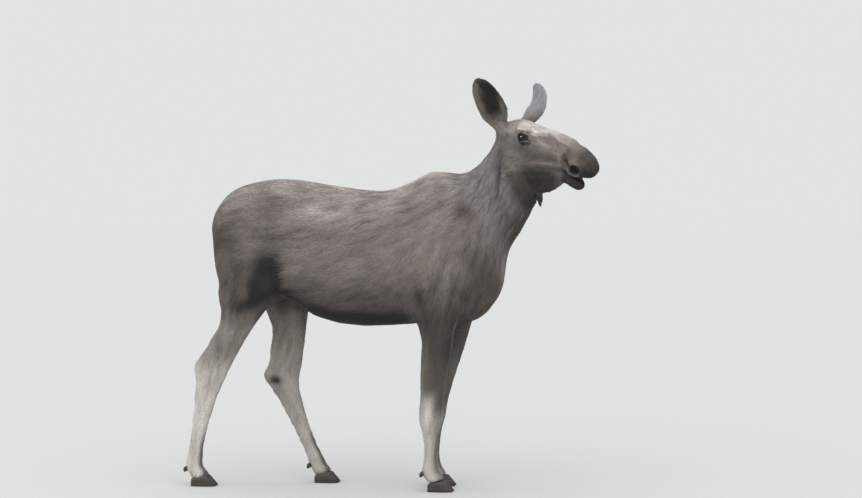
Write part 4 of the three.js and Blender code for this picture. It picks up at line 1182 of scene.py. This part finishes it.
def spindles(root, normal, flow, length, width, lift, bends, tree=None):
    """Closed spindles: corners and their normals as (tuft, corner, xyz), and one spindle's triangles.

    Each has a root under the skin, a ring of three corners at each bend, and a tip. The normals
    lean towards the skin's, so that the coat is shaded as one soft surface.
    """
    corners, leans = [root - ROOT_DEPTH * normal], [normal]
    for share in (*bends, 1.0):
        place, up = root + flow * (length * share)[:, None], normal
        if tree:
            place, up = snapped(tree, place)
        ahead = along_skin(flow, up)
        sideways = np.cross(up, ahead)
        height = (lift * share)[:, None]
        if share == 1.0:
            corners.append(place + up * height)
            leans.append(up)
            continue
        half = (width * (0.5 if share < 0.5 else 0.38))[:, None]
        low = place + up * (height - 0.35 * half)
        corners += [low - sideways * half, place + up * (height + 0.75 * half), low + sideways * half]
        leans += [unit(up - ROUNDING * sideways), up, unit(up + ROUNDING * sideways)]
    faces = [(0, 1 + k, 1 + (k + 1) % 3) for k in range(3)]
    for ring in range(1, len(bends)):
        a, b = 3 * ring - 2, 3 * ring + 1
        for k in range(3):
            n = (k + 1) % 3
            faces += [(a + n, a + k, b + k), (a + n, b + k, b + n)]
    last = 3 * len(bends) - 2
    tip = 3 * len(bends) + 1
    faces += [(tip, last + (k + 1) % 3, last + k) for k in range(3)]
    return np.stack(corners, 1), np.stack(leans, 1), np.array(faces)


def with_normals(mesh, normals):
    layer = mesh.attributes.new("custom_normal", "FLOAT_VECTOR", "POINT")
    layer.data.foreach_set("vector", normals.astype(np.float32).ravel())


def painted(mesh, colours):
    """Stores one linear colour for each corner of the mesh."""
    layer = mesh.color_attributes.new("tint", "FLOAT_COLOR", "POINT")
    values = np.ones((len(colours), 4), np.float32)
    values[:, :3] = np.clip(colours, 0, 1)
    layer.data.foreach_set("color", values.ravel())


PATCH = 0.0013  # half the size of a tuft's patch on the map


def mapped(mesh, places, count, triangles):
    """The map OFBake: each tuft, of count corners, is a small patch round its root's place."""
    spot = np.zeros((count, 2))
    spot[0], spot[-1] = (0, -PATCH), (0, PATCH)
    for k in range(1, count - 1):
        spot[k] = ((-PATCH, 0, PATCH)[(k - 1) % 3], PATCH * (0.5 if k > 3 else -0.2))
    uv = (places[:, None, :] + spot[None]).reshape(-1, 2)
    layer = mesh.uv_layers.new(name="OFBake")
    layer.data.foreach_set("uv", uv[triangles.ravel()].astype(np.float32).ravel())


# The axes that the map's regions are unwrapped round
HEAD_AXIS_W = dict(head=-110, jaw=-200)
NECK_FOOT, NECK_WAY = (700, 0, 1500), (230.0, -30, 400)
TRUNK_AXIS_Z = 1300
LEG_AXIS_Y = 125


def leg_centre(points, which, side):
    """The middle of a leg at each point's height."""
    line = sorted((z, x) for x, z in JOINTS[which, side].values())
    return np.interp(points[:, 2], [z for z, _ in line], [x for _, x in line])


def round_axis(off, sideways):
    """The turn round an axis, from 0 to 1."""
    return np.arctan2(sideways, off) / (2 * math.pi) + 0.5


def unwrapped(points, normals, region):
    """Places on an unwrap of that region.

    They are the turn round its axis and the length along it, then how many columns the map has
    and the column that each place is in.
    """
    x, y, z = points.T
    single = np.zeros(len(points))
    if region in HEAD_AXIS_W:
        u, v, w = in_head(points).T
        return round_axis(w - HEAD_AXIS_W[region], v), u, 1, single
    if region == "ears":
        side = np.where(in_head(points)[:, 1] > 0, LEFT, RIGHT)
        along, across, face = np.zeros((3, len(points)))
        for which in SIDES:
            on = side == which
            along[on], across[on], face[on] = about_ear(points[on], normals[on], which)
        return np.clip(across, -1, 1) / 2 + 0.5, along, 4, (side > 0) * 2 + (face > 0)
    if region == "neck":
        axis = unit(np.array([NECK_WAY]))[0]
        away = points - NECK_FOOT
        return round_axis(away @ np.cross((0, 1, 0), axis), away[:, 1]), away @ axis, 1, single
    if region == "trunk":
        return round_axis(z - TRUNK_AXIS_Z, y), x, 1, single
    turn = np.zeros(len(points))
    for side in SIDES:
        on = side * y > 0
        off = x[on] - leg_centre(points[on], region, side)
        turn[on] = round_axis(off, side * y[on] - LEG_AXIS_Y)
    return turn, z, 2, (y > 0) * 1.0


COLUMN_MARGIN = 0.004  # the share of a column that stays empty on each side
MAP_START, MAP_SPAN = np.array([0.004, 0.0075]), np.array([0.992, 0.985])


def places_on_map(points, normals, region):
    """Places on the map, each from 0 to 1, with a margin round each column."""
    turn, along, columns, column = unwrapped(points, normals, region)
    low, high = np.percentile(along, [0.2, 99.8])
    along = np.clip((along - low) / (high - low), 0, 1)
    across = column + COLUMN_MARGIN + np.clip(turn, 0, 1) * (1 - 2 * COLUMN_MARGIN)
    return np.stack([across / columns, along], 1) * MAP_SPAN + MAP_START


REGIONS = {
    "head": ("head",),
    "jaw": ("lower_jaw", "bell"),
    "ears": ("right_ear", "left_ear"),
    "neck": ("neck",),
    "trunk": ("trunk", "tail"),
    "fore": ("right_fore_leg", "left_fore_leg"),
    "hind": ("right_hind_leg", "left_hind_leg"),
}
SLOTS = dict(jaw="dark_coat", fore="leg_coat", hind="leg_coat")
MOST_TRIANGLES = 190_000


def coat_piece(name, tufts, pick, bends, region, tree):
    """The picked tufts as one mesh, darker at their roots and paler at their tips."""
    corners, leans, faces = spindles(
        tufts.root[pick], tufts.normal[pick], tufts.flow[pick], tufts.length[pick],
        tufts.width[pick], tufts.lift[pick], bends, tree,
    )
    count, each = corners.shape[:2]
    triangles = (faces[None] + np.arange(count)[:, None, None] * each).reshape(-1, 3)
    mesh = new_mesh(name, corners.reshape(-1, 3), triangles)
    with_normals(mesh, leans.reshape(-1, 3))
    shade = np.ones(each)
    shade[0], shade[-1] = ROOT_SHADE, TIP_SHADE
    colours = tufts.colour[pick][:, None, :] * shade[None, :, None]
    painted(mesh, colours.reshape(-1, 3))
    mapped(mesh, places_on_map(tufts.root[pick], tufts.normal[pick], region), each, triangles)
    add_piece(mesh, hair_look, SLOTS.get(region, "coat"))


def grow_coat(tufts, tree):
    """One or more pieces for each region, cut across where it has too many triangles."""
    for region, nodes in REGIONS.items():
        here = np.isin(tufts.owner, [FLESH.index(node) for node in nodes])
        axis = 2 if region in ("fore", "hind") else 0
        for kind, bends in (("", SHORT_BENDS), ("_long", LONG_BENDS)):
            pick = np.flatnonzero(here & ((tufts.length > LONG) == (kind == "_long")))
            if not len(pick):
                continue
            pick = pick[np.argsort(tufts.root[pick, axis], kind="stable")]
            triangles = 6 * len(bends) * len(pick)
            parts = math.ceil(triangles / MOST_TRIANGLES)
            for number, part in enumerate(np.array_split(pick, parts), 1):
                near = tree if tufts.length[part].mean() > SNAPPED else None
                coat_piece(f"coat_{region}{kind}_{number}", tufts, part, bends, region, near)


# ---------------------------------------------------------------- materials


def new_material(name, roughness):
    material = bpy.data.materials.new(name)
    material.use_nodes = True
    nodes = material.node_tree.nodes
    shader = nodes["Principled BSDF"]
    shader.inputs["Roughness"].default_value = roughness
    return material, nodes, material.node_tree.links, shader


def tinted(name, roughness):
    """A material whose colour is the one stored on the mesh."""
    material, nodes, links, shader = new_material(name, roughness)
    tint = nodes.new("ShaderNodeAttribute")
    tint.attribute_name = "tint"
    links.new(tint.outputs["Color"], shader.inputs["Base Color"])
    return material, nodes, links, shader


def noise_along(nodes, links, turn, size):
    """A noise drawn out along the X axis of a turned frame."""
    where = nodes.new("ShaderNodeTexCoord")
    frame_turn = nodes.new("ShaderNodeMapping")
    frame_turn.vector_type = "TEXTURE"
    frame_turn.inputs["Rotation"].default_value = turn
    frame_turn.inputs["Scale"].default_value = size
    grain = nodes.new("ShaderNodeTexNoise")
    grain.inputs["Scale"].default_value = 1.0
    grain.inputs["Detail"].default_value = 2.0
    links.new(where.outputs["Object"], frame_turn.inputs["Vector"])
    links.new(frame_turn.outputs["Vector"], grain.inputs["Vector"])
    return grain.outputs[0]


def skin_material():
    """The stored colour, with fine hair as a bump that runs with the lie of the coat."""
    material, nodes, links, shader = tinted("short_hair", 0.75)
    shares = nodes.new("ShaderNodeAttribute")
    shares.attribute_name = "grain"
    split = nodes.new("ShaderNodeSeparateColor")
    links.new(shares.outputs["Color"], split.inputs["Color"])
    head_turn = tuple(Matrix(HEAD_AXES.tolist()).to_euler())
    total = None
    coarse, fine = (0.03, 0.003, 0.003), (0.012, 0.0016, 0.0016)
    grains = [
        ("Red", (0, math.radians(-28), 0), coarse),  # along the trunk
        ("Green", (0, math.radians(90), 0), coarse),  # down the legs
        ("Blue", head_turn, fine),
    ]
    for channel, turn, size in grains:
        part = nodes.new("ShaderNodeMath")
        part.operation = "MULTIPLY"
        links.new(noise_along(nodes, links, turn, size), part.inputs[0])
        links.new(split.outputs[channel], part.inputs[1])
        if total is None:
            total = part.outputs[0]
            continue
        both = nodes.new("ShaderNodeMath")
        both.operation = "ADD"
        links.new(total, both.inputs[0])
        links.new(part.outputs[0], both.inputs[1])
        total = both.outputs[0]
    bump = nodes.new("ShaderNodeBump")
    bump.inputs["Strength"].default_value = 0.6
    bump.inputs["Distance"].default_value = 0.002
    links.new(total, bump.inputs["Height"])
    links.new(bump.outputs["Normal"], shader.inputs["Normal"])
    return material


def horn_material():
    """Dark hoof horn with faint growth lines that run round it."""
    material, nodes, links, shader = new_material("horn", 0.45)
    lines = noise_along(nodes, links, (0, 0, 0), (0.2, 0.2, 0.004))
    ramp = nodes.new("ShaderNodeValToRGB")
    ramp.color_ramp.elements[0].color = (0.018, 0.015, 0.013, 1)
    ramp.color_ramp.elements[1].color = (0.085, 0.072, 0.060, 1)
    ramp.color_ramp.elements[0].position = 0.25
    ramp.color_ramp.elements[1].position = 0.8
    links.new(lines, ramp.inputs["Fac"])
    links.new(ramp.outputs["Color"], shader.inputs["Base Color"])
    return material


hair_look, _, _, hair_shader = tinted("hair", 0.7)
hair_shader.inputs["Sheen Weight"].default_value = 0.12
hair_shader.inputs["Sheen Roughness"].default_value = 0.5
eye_look, _, _, eye_shader = tinted("eye", 0.05)
eye_shader.inputs["Specular IOR Level"].default_value = 0.28
rim_look = tinted("lid_edge", 0.5)[0]
horn_look = horn_material()

# ---------------------------------------------------------------- eyes and lids

# Colours in linear light; the white of the eye hardly shows and is dark on this animal.
EYE_WHITE = np.array([0.012, 0.009, 0.007])
EYE_IRIS = np.array([0.007, 0.005, 0.004])
EYE_PUPIL = np.array([0.002, 0.002, 0.002])
PUPIL_HALF_LENGTH, PUPIL_HALF_HEIGHT = 9.5, 5.5
IRIS_RADIUS = 20.0
CORNEA_BULGE = 1.0
LID_EDGE = [0.012, 0.010, 0.009]
LASH = [0.015, 0.012, 0.010]


def ring_mesh(rings):
    """Triangles between rings of corners of one size."""
    count, around = rings.shape[:2]
    index = np.arange(count * around).reshape(count, around)
    following = np.roll(index, -1, 1)
    faces = []
    for a, b, c, d in zip(index[:-1], following[:-1], following[1:], index[1:]):
        faces += [np.stack([a, b, c], 1), np.stack([a, c, d], 1)]
    return np.concatenate(faces)


def cap(tip, ring, following, turned):
    """A fan of triangles from a tip to a ring."""
    fan = np.stack([np.full(len(ring), tip), ring, following], 1)
    return fan if turned else fan[:, ::-1]


def add_eyeball(side):
    """The eye: a ball with the cornea's bulge, a wide dark pupil and a brown iris."""
    front, up, out = eye_axes(side)
    rows, around = 40, 64
    polar = np.linspace(0.02, math.pi - 0.02, rows)[:, None]
    turn = np.linspace(0, 2 * math.pi, around, endpoint=False)[None]
    radius = EYE_RADIUS + CORNEA_BULGE * rise(np.cos(polar), 0.78, 0.97)
    along = radius * np.sin(polar) * np.cos(turn)
    height = radius * np.sin(polar) * np.sin(turn)
    level = radius * np.cos(polar) * np.ones_like(turn)
    rings = eye_place[side] + along[..., None] * front + height[..., None] * up + level[..., None] * out
    ends = np.array([eye_place[side] + out * radius[0, 0], eye_place[side] - out * EYE_RADIUS])
    points = np.concatenate([rings.reshape(-1, 3), ends])
    top, bottom = len(points) - 2, len(points) - 1
    ring, mirrored, last = np.arange(around), side == LEFT, (rows - 1) * around
    following = np.roll(ring, -1)
    faces = ring_mesh(rings)
    faces = np.concatenate([
        faces[:, ::-1] if mirrored else faces,
        cap(top, ring, following, mirrored),
        cap(bottom, following + last, ring + last, mirrored),
    ])
    oval = np.hypot(along / PUPIL_HALF_LENGTH, height / PUPIL_HALF_HEIGHT).ravel()
    pupil = rise(oval, 1.1, 0.85) * (level.ravel() > 0)
    beyond_iris = rise(np.hypot(along, height).ravel(), IRIS_RADIUS - 1, IRIS_RADIUS + 1)
    colour = EYE_IRIS + (EYE_WHITE - EYE_IRIS) * beyond_iris[:, None]
    colour = colour + (EYE_PUPIL - colour) * pupil[:, None]
    mesh = new_mesh(f"{SIDE_NAME[side]}_eyeball", points, faces)
    painted(mesh, np.concatenate([colour, [EYE_PUPIL], [EYE_WHITE]]))
    add_piece(mesh, eye_look, "eye", f"{SIDE_NAME[side]}_eye")


def tube(line, radius, around=8):
    """A closed loop of tube round a closed line."""
    ahead = unit(np.roll(line, -1, 0) - np.roll(line, 1, 0))
    middle = line.mean(0)
    outward = unit(line - middle - ahead * ((line - middle) * ahead).sum(1)[:, None])
    other = np.cross(ahead, outward)
    turn = np.linspace(0, 2 * math.pi, around, endpoint=False)
    circle = np.cos(turn)[None, :, None] * outward[:, None] + np.sin(turn)[None, :, None] * other[:, None]
    rings = line[:, None] + radius[:, None, None] * circle
    return rings.reshape(-1, 3), ring_mesh(np.concatenate([rings, rings[:1]])) % (len(line) * around)


def lid_line(side, count, reach, out_by):
    """Places round the opening between the lids, that much larger and farther out than the eyeball."""
    front, up, out = eye_axes(side)
    turn = np.linspace(0, 2 * math.pi, count, endpoint=False)
    along = LID_HALF_LENGTH * reach * np.cos(turn)
    height = np.where(np.sin(turn) > 0, LID_UPPER, LID_LOWER) * reach * np.sin(turn)
    level = np.sqrt((EYE_RADIUS + out_by) ** 2 - along**2 - height**2)
    places = eye_place[side] + along[:, None] * front + height[:, None] * up + level[:, None] * out
    return places, turn


def add_lid_edge(side):
    """The bare dark margin of the lids, thicker at the front corner."""
    line, turn = lid_line(side, count=56, reach=1.03, out_by=0.9)
    points, faces = tube(line, 1.25 + 0.6 * rise(np.cos(turn), 0.8, 1.0))
    volume = (points[faces[:, 0]] * np.cross(points[faces[:, 1]], points[faces[:, 2]])).sum()
    mesh = new_mesh(f"{SIDE_NAME[side]}_lid_edge", points, faces if volume > 0 else faces[:, ::-1])
    painted(mesh, np.tile(LID_EDGE, (len(points), 1)))
    add_piece(mesh, rim_look, "dark_coat")


def add_lashes(side):
    """Lashes along the upper lid, pointing out and a little down."""
    front, up, out = eye_axes(side)
    line, turn = lid_line(side, count=96, reach=1.1, out_by=2.0)
    line = line[np.sin(turn) > 0.25]
    count = len(line)
    fan = (line - eye_place[side]) @ front / LID_HALF_LENGTH
    spread = 0.45 * fan[:, None] + 0.15 * CHANCE.normal(size=(count, 1))
    way = unit(out * 0.9 + up * 0.12 + front * spread)
    droop = unit(way - 0.35 * up)
    length = CHANCE.uniform(7, 12, count)
    width, lift = np.full(count, 1.1), np.full(count, 1.5)
    corners, _, faces = spindles(line, np.cross(way, front), droop, length, width, lift, (0.4,))
    triangles = (faces[None] + np.arange(count)[:, None, None] * corners.shape[1]).reshape(-1, 3)
    mesh = new_mesh(f"{SIDE_NAME[side]}_lashes", corners.reshape(-1, 3), triangles)
    painted(mesh, np.tile(LASH, (corners.size // 3, 1)))
    add_piece(mesh, hair_look, "dark_coat")


# ---------------------------------------------------------------- hooves

CLAW_VOXEL, DEWCLAW_VOXEL = 0.0050, 0.0035
SOLE_DEPTH = 3.0  # corners lower than this are brought back down to the ground


def add_hoof(node):
    """A smooth copy of a claw, still flat below."""
    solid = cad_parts[node].data
    points, faces = welded(millimetres(corners_of(solid)), triangles_of(solid))
    voxel = DEWCLAW_VOXEL if "dew" in node else CLAW_VOXEL
    hoof = Skin(remeshed(points, faces, voxel, zoomed=False))
    sole = hoof.points[:, 2] < SOLE_DEPTH
    everywhere = np.ones(len(hoof.points))
    hoof.even(6, everywhere)
    hoof.relax(16, everywhere)
    height = hoof.points[:, 2]
    hoof.points[:, 2] = np.where(sole, np.clip(height, 0, 1.0), np.maximum(height, 0))
    mesh = new_mesh("hoof_" + node, hoof.points, hoof.triangles)
    add_piece(mesh, horn_look, "horn", node)


# ---------------------------------------------------------------- putting it together

field = Field()
skin_mesh = new_mesh("skin", skin.points, skin.triangles)
painted(skin_mesh, field.colour * (0.97 + 0.07 * field.streak[:, None]))
grain = skin_mesh.color_attributes.new("grain", "FLOAT_COLOR", "POINT")
# The bump's grain has one direction on the trunk, one down the legs and one on the head.
on_head = np.clip(is_head + is_ear, 0, 1)
downward = np.clip((np.abs(field.flow[:, 2]) - 0.5) / 0.3, 0, 1) * (1 - on_head)
shares = np.stack([1 - on_head - downward, downward, on_head, np.ones(len(on_head))], 1)
grain.data.foreach_set("color", shares.astype(np.float32).ravel())
add_piece(skin_mesh, skin_material(), "coat", *FLESH)
grow_coat(Tufts(field), BVHTree.FromPolygons(skin.points.tolist(), skin.triangles.tolist()))
for side in SIDES:
    add_eyeball(side)
    add_lid_edge(side)
    add_lashes(side)
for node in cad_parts:
    if node.endswith("claw"):
        add_hoof(node)

# ---------------------------------------------------------------- stage

CAMERA_PLACE = dict(distance=11.04, height=1.65, across=0.439)
CAMERA_TURN, CAMERA_DIP = math.radians(10), math.radians(1.86)
CAMERA_LENS = 85
FLOOR = (0.60, 0.60, 0.595, 1)
SKY = (0.93, 0.96, 1.0, 1)
BACKDROP = (0.757, 0.767, 0.767, 1)
EYE_LIGHT_WAY = (-0.78, -0.60, 0.20)  # from the right eye to the lamp that lights the eyes
EYE_LIGHT_DISTANCE = 4.0


def stage():
    """A wide floor, a soft sky, and an even backdrop that only the camera sees."""
    bpy.ops.mesh.primitive_plane_add(size=80, location=(0, 20, 0))
    floor = bpy.context.object
    floor.name = "floor"
    material, _, _, shader = new_material("floor", 0.9)
    shader.inputs["Base Color"].default_value = FLOOR
    shader.inputs["Specular IOR Level"].default_value = 0.1
    floor.data.materials.append(material)
    world = bpy.data.worlds.new("studio")
    bpy.context.scene.world = world
    world.use_nodes = True
    nodes, links = world.node_tree.nodes, world.node_tree.links
    sky = nodes["Background"]
    sky.inputs["Color"].default_value = SKY
    sky.inputs["Strength"].default_value = 0.40
    backdrop = nodes.new("ShaderNodeBackground")
    backdrop.inputs["Color"].default_value = BACKDROP
    seen = nodes.new("ShaderNodeLightPath")
    either = nodes.new("ShaderNodeMixShader")
    links.new(seen.outputs["Is Camera Ray"], either.inputs["Fac"])
    links.new(sky.outputs["Background"], either.inputs[1])
    links.new(backdrop.outputs["Background"], either.inputs[2])
    links.new(either.outputs["Shader"], nodes["World Output"].inputs["Surface"])


def overhead_light():
    """A wide soft light from above, a little from the animal's right."""
    lamp = bpy.data.lights.new("overhead", "SUN")
    lamp.energy = 3.0
    lamp.angle = math.radians(110)
    holder = placed("overhead", lamp)
    holder.rotation_euler = Vector((0.1, 0.35, -1.0)).to_track_quat("-Z", "Y").to_euler()


def eye_light():
    """A lamp that lights nothing but the eyes, as the light in them."""
    lamp = bpy.data.lights.new("eye_light", "AREA")
    lamp.shape = "RECTANGLE"
    lamp.size, lamp.size_y = 3.2, 1.5
    lamp.color = (0.80, 0.90, 1.0)
    lamp.energy = 380.0
    holder = placed("eye_light", lamp)
    way = Vector(EYE_LIGHT_WAY).normalized()
    holder.location = Vector(metres(eye_place[RIGHT])) + EYE_LIGHT_DISTANCE * way
    holder.rotation_euler = (-way).to_track_quat("-Z", "Y").to_euler()
    holder.visible_camera = False
    lit = bpy.data.collections.new("lit_by_eye_light")
    for side in SIDES:
        lit.objects.link(bpy.data.objects[f"{SIDE_NAME[side]}_eyeball"])
    holder.light_linking.receiver_collection = lit


def camera():
    """A long lens on the animal's right, a little from the front, at the height of its back."""
    lens = bpy.data.cameras.new("camera")
    lens.lens = CAMERA_LENS
    lens.sensor_width = 36
    ahead = Vector((-math.sin(CAMERA_TURN), math.cos(CAMERA_TURN), 0))
    right = Vector((math.cos(CAMERA_TURN), math.sin(CAMERA_TURN), 0))
    place = -CAMERA_PLACE["distance"] * ahead + CAMERA_PLACE["across"] * right
    place += Vector((0, 0, CAMERA_PLACE["height"]))
    holder = placed("camera", lens)
    holder.location = place + Vector(ORIGIN / 1000)
    look = ahead * math.cos(CAMERA_DIP) - Vector((0, 0, math.sin(CAMERA_DIP)))
    holder.rotation_euler = look.to_track_quat("-Z", "Y").to_euler()
    bpy.context.scene.camera = holder


stage()
overhead_light()
eye_light()
camera()
bpy.context.scene.view_settings.view_transform = "Standard"
